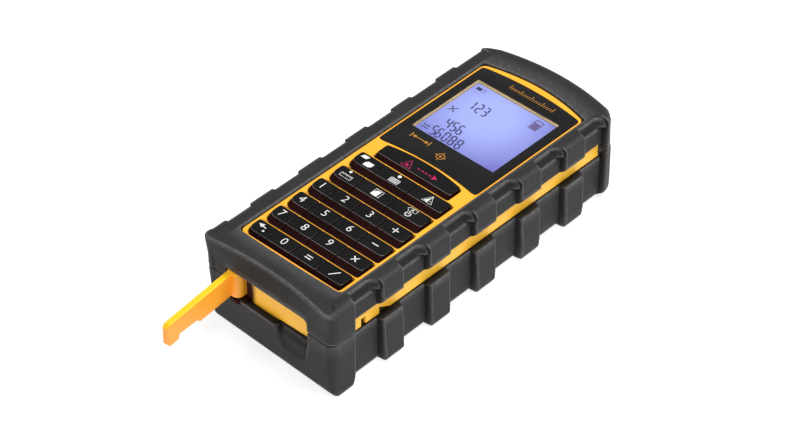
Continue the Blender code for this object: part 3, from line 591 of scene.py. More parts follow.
def rib_share(column):
    """1 on a rib, 0 on a panel, and between on the flanks."""
    share = 0.0
    y, part = column["at"], column["part"]
    if y < GAP_NEAR + 1:
        share = ease((GAP_NEAR - y) / FLANK + 0.5)
    if y > GAP_FAR - 1:
        share = ease((y - far_gap(part)) / FLANK + 0.5)
    for near, far in rib_spans(part):
        start = ease((y - near) / FLANK + 0.5)
        stop = ease((far - y) / FLANK + 0.5)
        share = max(share, start * stop)
    return share


def scoop_share(y):
    """How much of the scoop is left: it runs out before the next rib."""
    left = 1.0
    for near, far in rib_spans() + [(GAP_FAR, SIDE_END + 9)]:
        if near - SCOOP_END < y < far:
            left = min(left, 1 - ease((y - (near - SCOOP_END)) / SCOOP_END))
    return left


def slanted(y, z):
    """Moves a point along a side so that each rib's near flank leans towards the foot."""
    drop = (33.0 - z) / 33.0
    shift = 0.0
    for near, _far in rib_spans():
        reach = 1 - abs(y - near) / 5.0
        if reach > 0:
            shift = max(shift, RIB_SLANT * drop * ease(reach))
    reach = 1 - abs(y - GAP_NEAR) / 5.0
    if reach > 0 and z < FOOT_SOFT:
        shift -= 2.0 * (1 - z / FOOT_SOFT) ** 1.5 * ease(reach)
    return y + shift


# Depth in from the outer guide and height, from the top face's edge down to the inner foot
TOP_RIB = ((3.6, 37.6), (2.7, 37.58), (1.9, 37.45), (1.2, 37.2), (0.62, 36.72), (0.22, 36.05),
           (0.04, 35.4), (0, 34.8), (0, 34.1), (0, 33.75), (0, 33.3), (0, 32.0), (0, 30.2),
           (0, 28.65), (0.1, 28.25), (0.5, 27.7), (1.6, 26.55), (2.1, 26.2), (2.7, 26.0))
TOP_PANEL = ((5.3, 37.6), (4.75, 37.58), (4.45, 37.45), (4.32, 37.1), (4.2, 36.5),
             (4.1, 35.9), (3.9, 35.3), (3.55, 34.8), (3.1, 34.3), (2.65, 34.02), (2.46, 33.6),
             (2.5, 32.6), (2.5, 30.0), (2.5, 27.0), (2.52, 26.5), (2.6, 26.25), (2.75, 26.08),
             (2.95, 26.0), (3.3, 26.0))
TOP_LEFT = ((2.2, 37.6), (1.3, 37.58), (0.6, 37.5), (0.0, 37.28), (-0.4, 36.85), (-0.58, 36.3),
            (-0.6, 35.6), (-0.58, 34.9), (-0.55, 34.1), (-0.5, 33.75), (-0.45, 33.3),
            (-0.35, 32.0), (-0.2, 30.2)) + TOP_RIB[13:]
LEFT_PANEL = ((3.2, 37.6), (2.3, 37.58), (1.5, 37.48), (1.0, 37.25), (0.66, 36.85), (0.6, 36.3),
              (0.8, 35.6), (1.15, 34.9), (1.6, 34.1), (1.8, 33.75), (2.1, 33.3),
              (2.4, 32.4)) + TOP_PANEL[12:]
END_FOOT = ((0, 28.5), (0, 24.5), (0.04, 24.1), (0.14, 23.75), (0.4, 23.48), (0.8, 23.4),
            (1.4, 23.4))
TOP_END = ((3.1, 37.6),) + TOP_RIB[1:12] + END_FOOT
TOP_END_LEFT = TOP_LEFT[:12] + END_FOOT
NEAR_LIP = ((1.9, 37.6), (1.2, 37.6), (0.75, 37.57), (0.42, 37.47), (0.16, 37.28), (0.02, 37.0),
            (0, 36.6), (0, 36.0), (0, 35.2), (0, 34.4), (0, 33.3), (0, 31.5),
            (0, 28.9)) + END_FOOT[1:]
RIDGE_Z = 37.3
FACE_FOOT_Z = 28.0

LOW_LEVELS = (16.2, 15.6, 15.0, 14.2, 13.2, 12.0, 10.8, 9.6, 8.4, 7.2, 6.0, 4.8)
LOW_RIB = (((2.7, 19.7), (1.0, 19.7), (0.42, 19.56), (0.1, 19.2), (0, 18.6))
           + tuple((-0.035 * (16.2 - z), z) for z in LOW_LEVELS)
           + ((-0.42, 3.4), (-0.4, 2.2), (-0.2, 1.25), (0.3, 0.5), (1.1, 0.08), (2.4, 0.0)))
LOW_PANEL = (((3.5, 19.7), (3.1, 19.7), (2.78, 19.6), (2.56, 19.3), (2.5, 18.7))
             + tuple((2.5, z) for z in LOW_LEVELS)
             + ((2.5, 3.4), (2.62, 2.5), (2.95, 1.6), (3.5, 0.75), (4.3, 0.2), (5.4, 0.0)))
LOW_END = (((1.6, 23.1), (0.8, 23.1), (0.36, 22.96), (0.08, 22.6), (0, 22.0))
           + tuple((0, z) for z in LOW_LEVELS)
           + ((0, 3.4), (0.1, 2.4), (0.4, 1.5), (0.95, 0.7), (1.8, 0.18), (3.0, 0.0)))
LOW_PILLAR = LOW_END[:17] + ((0, 3.0), (0, 1.9), (0, 1.1), (0.1, 0.5), (0.4, 0.1), (1.0, 0.0))
LOW_FAR = LOW_END[:14] + ((0, 7.2), (0, 6.0), (0.02, 4.9), (0.16, 4.0), (0.5, 3.3),
                          (1.1, 2.65), (2.0, 1.9), (3.2, 0.9), (4.6, 0.0))


def blended(first, second, share):
    return [(mix(a[0], b[0], share), mix(a[1], b[1], share)) for a, b in zip(first, second)]


def raised(profile, old, new, pivot):
    """Squeezes what lies between a pivot height and an end so that the end moves."""
    moved = []
    for depth, z in profile:
        past = (z - pivot) * (old - pivot) > 0
        moved.append((depth, pivot + (z - pivot) * (new - pivot) / (old - pivot) if past else z))
    return moved


def slot_edge(x):
    """The near slot's upper edge, with a rounded corner at its right end; None outside it."""
    if not SLOT_LEFT < x < SLOT_RIGHT:
        return None
    radius = 2.4
    top = SLOT_TOP + SLOT_CLIMB * x
    into = radius - (SLOT_RIGHT - x)
    if into <= 0:
        return top
    return top - radius + math.sqrt(max(0.0, radius * radius - into * into))


def corner_mix(column):
    """0 at the side and 1 at the end, for the columns of a corner."""
    share = column["at"]
    return ease(share if column["part"] in ("near_left", "far_right") else 1 - share)


def ridge_depth(column):
    """How far in the ridge over the near end lies: it curves away at the middle."""
    x = column["outer"].x
    ridge = -73.9 - 0.0036 * (x + 3.5) ** 2
    return max(-1.3, min(2.0, ridge - column["outer"].y))


def near_top(column, edge=None):
    """The near end's profile: a sharp ridge over a face that leans to meet it."""
    lean = ridge_depth(column)
    points = []
    for depth, z in raised(NEAR_LIP, SEAM, edge or SEAM, 33.0):
        share = max(0.0, min(1.0, (z - FACE_FOOT_Z) / (RIDGE_Z - FACE_FOOT_Z)))
        points.append((depth + lean * share, z))
    return points


def leaning(profile, amount):
    """A profile whose depth grows with height."""
    return [(depth + amount * z / 36, z) for depth, z in profile]


def tucked(profile, y):
    """The foot's rounding grows from the near end to the far end."""
    amount = 0.0095 * (y + 18)
    return [(depth + amount * max(0.0, 1 - z / 6), z) for depth, z in profile]


def drawn_in(column, profile, amount, low, high):
    """Draws a corner's profile in (or out, below zero), fading out below a height."""
    bell = math.sin(math.pi * column["at"])
    return [(depth + amount * bell * ease((z - low) / (high - low)), z) for depth, z in profile]


def top_profile(column):
    part, place = column["part"], column["at"]
    if part in ("right", "left"):
        ends = place < GAP_NEAR + 2 or place > GAP_FAR - 2
        if part == "right":
            rib, panel = (TOP_END if ends else TOP_RIB), TOP_PANEL
        else:
            rib, panel = (TOP_END_LEFT if ends else TOP_LEFT), LEFT_PANEL
        points = []
        kept = scoop_share(place) if part == "right" else 1.0
        for index, (depth, z) in enumerate(blended(panel, rib, rib_share(column))):
            if index < SCOOP_LEVELS:
                filled = min(rib[index][0] + 0.9, depth)
                depth = mix(filled, depth, kept)
            points.append((depth, z))
        return points
    if part.startswith("near_"):
        side = TOP_END_LEFT if part == "near_left" else TOP_END
        profile = blended(side, near_top(column), corner_mix(column))
        return drawn_in(column, profile, -NEAR_FLARE, 6, 26) if part == "near_left" else profile
    if part == "near":
        return near_top(column, slot_edge(place))
    if part == "far_left":
        profile = blended(TOP_END_LEFT, TOP_END, corner_mix(column))
    else:
        profile = TOP_END
    if part == "far" and abs(place) < PORT_X:
        profile = raised(profile, SEAM, PORT_TOP, 33.0)
    if part != "far":
        profile = drawn_in(column, profile, FAR_TUCK, 12, 34)
    return leaning(profile, FAR_LEAN * (1.0 if part == "far" else corner_mix(column)))


GRIP = ((1.0, 19.0), (3.6, 11.5), (6.0, 8.4), (16.4, 8.4), (18.3, 10.8), (18.3, 19.0))
GRIP_DEPTH = 0.75


def grip_depth(x, z):
    """Depth of the finger grip pressed into the near end; it is deepest under the slot."""
    inside = 9.0
    for (x1, z1), (x2, z2) in zip(GRIP, GRIP[1:]):
        length = math.hypot(x2 - x1, z2 - z1)
        inside = min(inside, ((x2 - x1) * (z - z1) - (z2 - z1) * (x - x1)) / length)
    undercut = 1.5 * ease((z - 12.5) / 4.4)
    return (GRIP_DEPTH + undercut) * ease(inside / 1.9)


def rounded_foot(profile, share):
    """Rounds the foot of a near corner, most at its middle, and stays inside its radius."""
    bell = math.sin(math.pi * share) ** 2
    limit = 0.86 * NEAR_CORNER
    points = []
    for depth, z in profile:
        if z < FOOT_SOFT:
            past = max(0.0, depth + 0.5 * max(0.0, 1 - z / FOOT_SOFT))
            depth = mix(depth, limit * math.tanh(past / limit), bell)
        points.append((depth, z))
    return points


def slot_ledge(profile):
    """The lower shell's edge under the near slot, lowered and softly turned."""
    points = raised(profile, LOW_TOP, SLOT_LOW, 16.4)
    lip = ((2.2, 0), (1.5, 0), (0.95, -0.12), (0.55, -0.35), (0.25, -0.6), (0.08, -0.75))
    for level, (depth, drop) in enumerate(lip):
        points[level] = (depth, SLOT_LOW + drop if level < 5 else points[level][1])
    return points


def low_profile(column):
    part, place = column["part"], column["at"]
    if part in ("right", "left"):
        rib = LOW_PILLAR if place < GAP_NEAR + 2 else LOW_RIB
        if place > GAP_FAR - 2:
            rib = LOW_FAR
        return tucked(blended(LOW_PANEL, rib, rib_share(column)), column["outer"].y)
    profile = list(LOW_END)
    if part.startswith("near_"):
        side = tucked(LOW_PILLAR, SIDE_START)
        profile = rounded_foot(blended(side, LOW_END, corner_mix(column)), place)
    if part.startswith("far_"):
        side = tucked(LOW_FAR, SIDE_END)
        profile = blended(side, blended(LOW_FAR, LOW_END, 0.5), corner_mix(column))
    if part == "far":
        profile = blended(LOW_FAR, LOW_END, 0.5)
    if part == "near_left":
        profile = drawn_in(column, profile, -NEAR_FLARE, 6, 26)
    if part == "near" and SLOT_LEFT < place < SLOT_RIGHT:
        profile = slot_ledge(profile)
    if part == "far" and abs(place) < PORT_X:
        profile = raised(profile, LOW_TOP, PORT_LOW, 5.0)
    if part == "near" or part.startswith("near_"):
        lean = 1.0 if part == "near" else corner_mix(column)
        profile = [(depth + lean * max(0.0, 23.0 - z) * 0.026, z) for depth, z in profile]
    if part == "near":
        profile = [(depth + grip_depth(place, z) if level < 20 else depth, z)
                   for level, (depth, z) in enumerate(profile)]
    if part.startswith("far"):
        profile = leaning(profile, FAR_LEAN * (1.0 if part == "far" else corner_mix(column)))
    return profile


def ring_points(column, profile):
    """A profile's points in space, leaning along the sides where the ribs lean."""
    points = []
    on_side = column["part"] in ("right", "left")
    for depth, z in profile:
        spot = column["outer"] + column["inward"] * depth
        shift = slanted(column["at"], z) - column["at"] if on_side else 0.0
        y = spot.y + shift
        points.append((spot.x, y, z))
    return points


def wrapped(rings):
    """Faces between neighbouring rings all the way round, each ring closed on itself."""
    count = len(rings[0])
    faces = []
    for index in range(len(rings)):
        after = (index + 1) % len(rings)
        for level in range(count):
            above = (level + 1) % count
            faces.append((index * count + level, index * count + above,
                          after * count + above, after * count + level))
    return faces


def with_wear_and_shade(mesh, rubbed_and_lit, shaded):
    """Stores how much each point stands out, painted pale where worn and as painted highlight, and
    how deep it sits in creases, painted dark as painted shade.

    The two lists give the least of each for every point.
    """
    mesh.update()
    count = len(mesh.vertices)
    places = [vertex.co.copy() for vertex in mesh.vertices]
    normals = [vertex.normal.copy() for vertex in mesh.vertices]
    out, deep = [0.0] * count, [0.0] * count
    for edge in mesh.edges:
        first, second = edge.vertices
        run = places[second] - places[first]
        length = max(run.length, 0.00025)
        bend = (normals[second] - normals[first]).dot(run) / (length * length) * MM
        for end in (first, second):
            out[end] = max(out[end], bend)
            deep[end] = max(deep[end], -bend)
    for name, values, given, least, full in (("wear_and_highlight", out, rubbed_and_lit, 0.3, 0.85),
                                             ("crease_shade", deep, shaded, 0.1, 0.6)):
        layer = mesh.attributes.new(name, "FLOAT", "POINT")
        scaled = [max(lowest, min(1.0, (value - least) / (full - least)))
                  for value, lowest in zip(values, given)]
        layer.data.foreach_set("value", scaled)
    return mesh


def ridge_highlight_and_wear(column, level):
    """The ridge over the near end is painted pale, partly worn and partly painted highlight, least
    towards its right end.
    """
    if column["part"] not in ("near", "near_left") or not 11 <= level <= 13:
        return 0.0
    return (1.0 if level == 12 else 0.8) * ease((22 - column["outer"].x) / 16)


def ledge_shade(column, level):
    """The lower shell's ledges, under the side gaps and in the near slot, are painted dark as
    painted shade.
    """
    if level == 0 or level > 6:
        return 0.0
    if column["part"] == "near" and SLOT_LEFT < column["at"] < SLOT_RIGHT:
        return 0.9 if level < 6 else 0.5
    in_gap = column["part"] in ("left", "right") and GAP_NEAR < column["at"] < GAP_FAR
    return 0.95 if in_gap and level < 4 else 0.0


# Out from the window's edge and height, up to the flat rim
WINDOW_EDGE = ((0, 37.15), (0.12, 37.45), (0.45, RIM_TOP), (0.8, RIM_TOP))


def upper_bumper(columns):
    rings = []
    rubbed_and_lit = []
    for column in columns:
        profile = top_profile(column)
        outside = ring_points(column, profile)
        window, pocket, support = column["window"], column["pocket"], column["support"]
        outward = -column["inward"]
        foot = profile[-1][1]
        inside = [(pocket.x, pocket.y, foot), (pocket.x, pocket.y, CEILING),
                  (window.x, window.y, CEILING)]
        inside += [(window.x + outward.x * out, window.y + outward.y * out, z)
                   for out, z in WINDOW_EDGE]
        inside.append((support.x, support.y, RIM_TOP))
        rings.append(inside + outside)
        rubbed_and_lit += [ridge_highlight_and_wear(column, level) for level in range(len(rings[0]))]
    mesh = new_mesh("upper_bumper", [point for ring in rings for point in ring], wrapped(rings))
    with_wear_and_shade(mesh, rubbed_and_lit, [0.0] * len(rubbed_and_lit))
    smooth(mesh, 40)
    return mesh_piece("upper_bumper_rubber", mesh, [RUBBER], ROOT, ["upper_bumper"])


DOOR_HOLE = (-14.3, -60.3, 14.3, -10.7, 2.0)
SCREWS = [(x, y) for y in (-66.4, 62.4) for x in (-21.0, 21.0)]


def pierced(work, outer, holes):
    """Fills a flat loop of vertices, leaving the holes open."""
    edges = []
    for loop in [outer] + holes:
        for first, second in zip(loop, loop[1:] + loop[:1]):
            edge = work.edges.get((first, second)) or work.edges.new((first, second))
            edges.append(edge)
    bmesh.ops.triangle_fill(work, use_beauty=True, use_dissolve=False, edges=edges)


def lower_bumper(columns):
    rings = []
    shaded = []
    for column in columns:
        profile = low_profile(column)
        outside = ring_points(column, profile)
        pocket = column["pocket"]
        rings.append([(pocket.x, pocket.y, FLOOR), (pocket.x, pocket.y, profile[0][1])] + outside)
        shaded += [ledge_shade(column, level) for level in range(len(rings[0]))]
    count = len(rings[0])
    faces = [face for face in wrapped(rings) if not {face[0] % count, face[1] % count}
             == {0, count - 1}]
    mesh = new_mesh("lower_bumper", [point for ring in rings for point in ring], faces)
    with_wear_and_shade(mesh, [0.0] * len(shaded), shaded)
    work = bmesh.new()
    work.from_mesh(mesh)
    work.verts.ensure_lookup_table()
    outlines = [rounded(*DOOR_HOLE)] + [arc(spot, 3.0, 0, 345, 23) for spot in SCREWS]
    base = [work.verts[index * count + count - 1] for index in range(len(rings))]
    inner = [work.verts[index * count] for index in range(len(rings))]
    low_holes = [[work.verts.new((x * MM, y * MM, 0)) for x, y in line] for line in outlines]
    high_holes = [[work.verts.new((x * MM, y * MM, FLOOR * MM)) for x, y in line]
                  for line in outlines]
    pierced(work, base, low_holes)
    pierced(work, inner, high_holes)
    for low, high in zip(low_holes, high_holes):
        for index in range(len(low)):
            after = (index + 1) % len(low)
            work.faces.new((low[index], high[index], high[after], low[after]))
    bmesh.ops.recalc_face_normals(work, faces=work.faces)
    work.to_mesh(mesh)
    work.free()
    smooth(mesh, 40)
    return mesh_piece("lower_bumper_rubber", mesh, [RUBBER], ROOT, ["lower_bumper"])


# ---------------------------------------------------------------- keys

KEY_TOP = 38.0
KEY_FOOT = 34.3
KEY_SHOULDER = 36.7
FIRST_SLOPE = 1.1            # slope of the near side in the first row
KEY_SLOPE = 2.0              # and in the other rows
ROW_FIRST = -63.0
ROW_PITCH = 10.05
ROW_DEPTH = 6.35
NUMBER_EDGES = (-22.0, -13.2, -2.0, 10.1, 22.0)
MENU_EDGES = (-21.2, -10.1, 5.2, 21.2)
MEASURE_HALF = 17.6
MEASURE_NEAR = -3.4
MEASURE_SLOPE = 1.6
MEASURE_DEPTH = 5.6
MEASURE_CROWN = 1.9

KEY_ROWS = (
    (NUMBER_EDGES, ("key_back", "key_0", "key_equals", "key_divide")),
    (NUMBER_EDGES, ("key_7", "key_8", "key_9", "key_times")),
    (NUMBER_EDGES, ("key_4", "key_5", "key_6", "key_minus")),
    (NUMBER_EDGES, ("key_1", "key_2", "key_3", "key_plus")),
    (MENU_EDGES, ("key_unit", "key_memory", "key_clear")),
    (MENU_EDGES, ("key_area", "key_history", "key_triangle")),
)


def row_near(row):
    return ROW_FIRST + ROW_PITCH * row


def row_slope(row):
    return KEY_SLOPE if row else FIRST_SLOPE


def key_outline(left, right, row, first, last):
    """Outline of a key's foot; the row's own ends have larger corners."""
    near = row_near(row) - row_slope(row)
    far = row_near(row) + ROW_DEPTH
    big, small = 1.1, 0.22
    left_r, right_r = (big if first else small), (big if last else small)
    near_r = 2.6 if first else small
    return (arc((right - right_r, near + right_r), right_r, -90, 0, 5)
            + arc((right - right_r, far - right_r), right_r, 0, 90, 5)
            + arc((left + left_r, far - left_r), left_r, 90, 180, 5)
            + arc((left + near_r, near + near_r), near_r, 180, 270, 5))


def key_cap(name, outline, slope):
    """A cap: translucent wall, sloped near side, and a black top with a soft edge whose near side
    is painted with a pale highlight.
    """
    count = len(outline)
    centre = Vector((sum(x for x, _y in outline) / count, sum(y for _x, y in outline) / count))
    half = Vector((max(x for x, _y in outline) - min(x for x, _y in outline),
                   max(y for _x, y in outline) - min(y for _x, y in outline))) / 2

    def ring(z, inset):
        climb = max(0.0, min(1.0, (z - KEY_SHOULDER) / (37.85 - KEY_SHOULDER)))
        points = []
        for x, y in outline:
            spot_x = centre.x + (x - centre.x) * (1 - inset / half.x)
            spot_y = centre.y + (y - centre.y) * (1 - inset / half.y)
            if y < centre.y:
                spot_y += slope * climb
            points.append((spot_x, spot_y, z))
        return points

    rings = [ring(KEY_FOOT, 0), ring(KEY_SHOULDER, 0), ring(37.2, 0.01), ring(37.66, 0.02),
             ring(37.84, 0.04), ring(37.93, 0.09), ring(KEY_TOP, 0.22), ring(KEY_TOP, 0.5)]
    mesh = lofted(rings, black_from=5)
    # Painted highlight: the near-facing faces of this edge ring take the pale colour.
    for face in mesh.polygons:
        if face.index // count == 5 and face.normal.y < -0.15:
            face.material_index = 2
    smooth(mesh, 50)
    return mesh_piece(f"{name}_cap", mesh, [KEY_WALL, KEY_BLACK, KEY_EDGE_HIGHLIGHT], name,
                      [name])


def key_boxes():
    """Every key's name with the box of its top face: left, near, right, far."""
    boxes = {}
    for row, (edges, names) in enumerate(KEY_ROWS):
        for index, name in enumerate(names):
            boxes[name] = (edges[index], row_near(row), edges[index + 1], row_near(row) + ROW_DEPTH)
    boxes["key_measure"] = (-MEASURE_HALF, MEASURE_NEAR, MEASURE_HALF,
                            MEASURE_NEAR + MEASURE_DEPTH)
    return boxes


def key_caps():
    for row, (edges, names) in enumerate(KEY_ROWS):
        for index, name in enumerate(names):
            first, last = index == 0, index == len(names) - 1
            left = edges[index] + (0 if first else 0.15)
            right = edges[index + 1] - (0 if last else 0.15)
            key_cap(name, key_outline(left, right, row, first, last), row_slope(row))
    key_cap("key_measure", crowned(MEASURE_HALF - 0.3, MEASURE_NEAR - MEASURE_SLOPE,
                                   MEASURE_NEAR + MEASURE_DEPTH, 0.7, 0, MEASURE_CROWN, 4, 16),
            MEASURE_SLOPE)


FACE = 36.9


def row_gap_shades():
    """Painted shade: dark borders round the openings in the face, round each row and along the
    window, standing for the shadowed gaps.
    """
    gap_shades, fillets = [], []
    for row, (edges, _names) in enumerate(KEY_ROWS):
        near = row_near(row) - row_slope(row) - 0.3
        far = row_near(row) + ROW_DEPTH + 0.3
        left, right = edges[0] - 0.3, edges[-1] + 0.3
        wide = 0.15 if row == 0 else 0.4
        outer = rounded(left - 0.02, near - wide, right + 0.3, far + 0.2, 1.1, 4)
        gap_shades.append(plate([outer, rounded(left, near, right, far, 0.9, 4)[::-1]],
                          FACE, FACE + 0.05))
        curve = arc((left + 2.9, near + 2.9), 2.9, 180, 270, 8)
        corner = [(left - 0.02, near - wide)]
        fillets.append(plate([(curve + corner)[::-1]], FACE - 0.3, FACE + 0.08))
    outer = crowned(23.8, -65.1, 60.35, 1.8, 0.3, 3.8)
    inner = crowned(23.6, -64.95, 60.15, 1.6, 0.3, 3.8)
    gap_shades.append(plate([outer, inner[::-1]], FACE, FACE + 0.05))
    mesh_piece("face_gap_shades", joined(gap_shades), [DARK_TRIM_AND_GAP_SHADE], ROOT)
    mesh_piece("face_fillets", joined(fillets), [CASE_YELLOW], ROOT)


def strap_shade_plates():
    """Painted shade: dark plates in the rubber's look, seen through the strap slot and in the notch
    beside the lug.
    """
    slot = plate([[(-58.7, 20.0), (-56.4, 20.0), (-56.4, 23.4), (-58.7, 23.4)]],
                 25.95, 26.1, "X")
    notch = plate([[(-49.7, 20.0), (-44.6, 20.0), (-49.7, 22.9)]], 25.95, 26.1, "X")
    mesh_piece("strap_shade_plates", joined([slot, notch]), [RUBBER], ROOT)


# ---------------------------------------------------------------- end lever

PIVOT = (-17.3, -72.9)
LEVER_TURN = 5.5             # degrees the arm leans in from square
LEVER_FOOT = 17.1
LEVER_HEAD = 26.7
BARREL_RADIUS = 2.7


def lever():
    """The swung-out arm with its hinge barrel, one moulding with soft edges."""
    side = ((0.6, LEVER_FOOT), (0.6, LEVER_HEAD), (-34.5, LEVER_HEAD), (-35.7, 25.5),
            (-35.7, 18.3), (-34.8, LEVER_FOOT), (-30.1, LEVER_FOOT), (-29.5, 19.2),
            (-20.5, 18.6), (-19.1, LEVER_FOOT))
    arm = plate([side[::-1]], -3.4, -0.8, "X", edge=0.4, steps=3)
    barrel = plate([arc((0, 0), BARREL_RADIUS, 0, 348, 29)], LEVER_FOOT, LEVER_HEAD, edge=0.25)
    bore = plate([arc((0, 0), 1.1, 0, 337.5, 15)], LEVER_FOOT - 2, LEVER_HEAD + 2)
    whole = bpy.data.objects.new("arm", arm)
    tools = [bpy.data.objects.new("tool", mesh) for mesh in (barrel, bore)]
    for tool, kind in zip(tools, ("UNION", "DIFFERENCE")):
        bpy.context.scene.collection.objects.link(tool)
        step = whole.modifiers.new(kind.lower(), "BOOLEAN")
        step.operation = kind
        step.object = tool
        step.solver = "EXACT"
    place = (Matrix.Translation((PIVOT[0] * MM, PIVOT[1] * MM, 0))
             @ Matrix.Rotation(math.radians(LEVER_TURN), 4, "Z"))
    mesh = smooth(evaluated_mesh(whole, place))
    for tool in tools:
        bpy.data.objects.remove(tool, do_unlink=True)
    mesh_piece("lever_moulding", mesh, [YELLOW], LEVER, ["end_lever"])


# ---------------------------------------------------------------- printed marks

INK = 0.03                   # how far a printed mark stands above its surface


def stroke(points, width, z, closed=False):
    """A flat printed line through points."""
    curve = bpy.data.curves.new("stroke", "CURVE")
    curve.dimensions = "3D"
    curve.bevel_depth = width / 2 * MM
    curve.bevel_resolution = 1
    curve.use_fill_caps = True
    spline = curve.splines.new("POLY")
    spline.points.add(len(points) - 1)
    for point, (x, y) in zip(spline.points, points):
        point.co = (x * MM, y * MM, 0, 1)
    spline.use_cyclic_u = closed
    flat = Matrix.Translation((0, 0, z * MM)) @ Matrix.Diagonal((1, 1, 2 * INK / width, 1))
    return evaluated_mesh(bpy.data.objects.new("stroke", curve), flat)


def patch(outline, z):
    """A filled printed shape."""
    return plate([outline], z - INK, z + INK)


def digits(text, size, x, y, z):
    """Printed characters centred on a point; size is the height of a digit."""
    curve = bpy.data.curves.new("digits", "FONT")
    curve.body = text
    curve.size = size / 0.72 * MM
    curve.align_x = "CENTER"
    curve.align_y = "CENTER"
    curve.extrude = INK * MM
    curve.offset = -0.045 * MM
    curve.resolution_u = 3
    place = Matrix.Translation((x * MM, y * MM, z * MM))
    return evaluated_mesh(bpy.data.objects.new("digits", curve), place)


def at(x, y, points):
    return [(x + dx, y + dy) for dx, dy in points]


def disc(x, y, radius):
    return arc((x, y), radius, 0, 348, 29)


# What each mark is, its width or radius, and its points about the middle of the key
ICONS = {
    "key_plus": [("line", 0.5, [(-1.45, 0), (1.45, 0)]), ("line", 0.5, [(0, -1.45), (0, 1.45)])],
    "key_minus": [("line", 0.5, [(-1.45, 0), (1.45, 0)])],
    "key_times": [("line", 0.5, [(-1.1, -1.1), (1.1, 1.1)]),
                  ("line", 0.5, [(-1.1, 1.1), (1.1, -1.1)])],
    "key_equals": [("line", 0.5, [(-1.35, 0.6), (1.35, 0.6)]),
                   ("line", 0.5, [(-1.35, -0.6), (1.35, -0.6)])],
    "key_divide": [("line", 0.5, [(-1.3, -1.7), (1.3, 1.7)])],
    # An arrow to the left over a decimal point
    "key_back": [("line", 0.5, [(0.9, 0.55), (-1.0, 0.85)]),
                 ("fill", 0, [(-2.9, 1.15), (-0.9, -0.05), (-0.7, 1.95)]),
                 ("disc", 0.46, [(1.0, -1.0)])],
    # A small ruler, and a lamp above it
    "key_unit": [("loop", 0.3, [(-2.9, -1.7), (2.1, -1.7), (2.1, 0.1), (-2.9, 0.1)]),
                 ("disc", 0.6, [(-0.65, 2.0)])]
                + [("line", 0.22, [(spot, 0.1), (spot, -0.8 + 0.25 * (step % 2))])
                   for step, spot in enumerate((-2.1, -1.25, -0.4, 0.45, 1.3))],
    # A page, half of it filled, with a second page behind
    "key_memory": [("loop", 0.32, [(-1.2, -1.7), (1.4, -1.7), (1.4, 1.7), (-1.2, 1.7)]),
                   ("fill", 0, [(-1.2, -1.7), (1.4, -1.7), (1.4, 1.2), (0, 1.2), (-1.2, -0.3)]),
                   ("line", 0.28, [(1.9, 1.7), (2.4, 1.7), (2.4, -1.7), (1.9, -1.7)])],
    # A power sign, with a small erase sign above
    "key_clear": [("line", 0.42, arc((0.1, -0.9), 1.05, 125, 415, 18)),
                  ("line", 0.42, [(0.1, -0.9), (0.1, 0.35)]),
                  ("loop", 0.26, [(-2.2, 1.65), (-1.2, 0.8), (2.0, 0.8), (2.0, 2.5), (-1.2, 2.5)]),
                  ("line", 0.26, [(-0.4, 1.2), (0.6, 2.1)]),
                  ("line", 0.26, [(-0.4, 2.1), (0.6, 1.2)])],
    # A filled rectangle beside a filled box
    "key_area": [("fill", 0, [(-4.2, 0.6), (-1.6, 0.6), (-0.9, 2.2), (-3.5, 2.2)]),
                 ("fill", 0, [(-0.7, -2.2), (1.9, -2.2), (2.8, -1.3), (2.8, 0.3), (0.2, 0.3),
                              (-0.7, -0.6)])],
    # A grid of cells and a dot
    "key_history": [("line", 0.3, [(-1.7, level), (2.3, level)])
                    for level in (-2.2, -1.5, -0.8, -0.1)]
                   + [("line", 0.3, [(spot, -2.2), (spot, -0.1)])
                      for spot in (-1.7, -0.7, 0.3, 1.3, 2.3)] + [("disc", 0.72, [(0.3, 1.7)])],
    # A triangle with its height and a measured side
    "key_triangle": [("loop", 0.36, [(-1.8, -2.0), (2.6, -2.0), (0.4, 1.9)]),
                     ("line", 0.28, [(0.4, 1.6), (0.4, -1.9)]),
                     ("fill", 0, [(-1.1, -1.7), (0.25, -1.7), (0.25, 0.5)]),
                     ("line", 0.26, [(0.9, -0.9), (1.6, -0.9)])],
    # A triangle with a dot and a beam arrow
    "key_measure": [("loop", 0.42, [(-7.0, -1.8), (-2.6, -1.8), (-4.8, 2.2)]),
                    ("disc", 0.6, [(-4.8, -0.7)])]
                   + [("line", 0.6, [(-0.6 + 1.75 * step, 0.3), (0.4 + 1.75 * step, 0.3)])
                      for step in range(4)]
                   + [("fill", 0, [(6.4, -0.9), (8.4, 0.3), (6.4, 1.5)])],
}


def icon(name, x, y, z):
    """The printed marks of a key, as meshes."""
    meshes = []
    for kind, size, points in ICONS[name]:
        spots = at(x, y, points)
        if kind == "disc":
            meshes.append(patch(disc(*spots[0], size), z))
        elif kind == "fill":
            meshes.append(patch(spots, z))
        else:
            meshes.append(stroke(spots, size, z, kind == "loop"))
    return meshes


def key_legends():
    for name, (left, near, right, far) in key_boxes().items():
        x, y, z = (left + right) / 2, (near + far) / 2, KEY_TOP
        if name in ICONS:
            marks = icon(name, x, y, z)
        else:
            offset = -0.9 if x < -15 else 0.0
            marks = [digits(name[4:], 3.5, x + offset, y, z)]
        ink = CRIMSON_INK if name == "key_measure" else WHITE_INK
        mesh_piece(f"{name}_legend", joined(marks), [ink], name)


# ---------------------------------------------------------------- display

LENS = (23.0, 3.4, 59.1, 1.2, -2.25, 2.1)
LENS_LOW = 35.7
LENS_TOP = 37.1
VIEW = (-19.3, 16.95, 19.1, 52.6)
IMAGE_TOP = 36.5


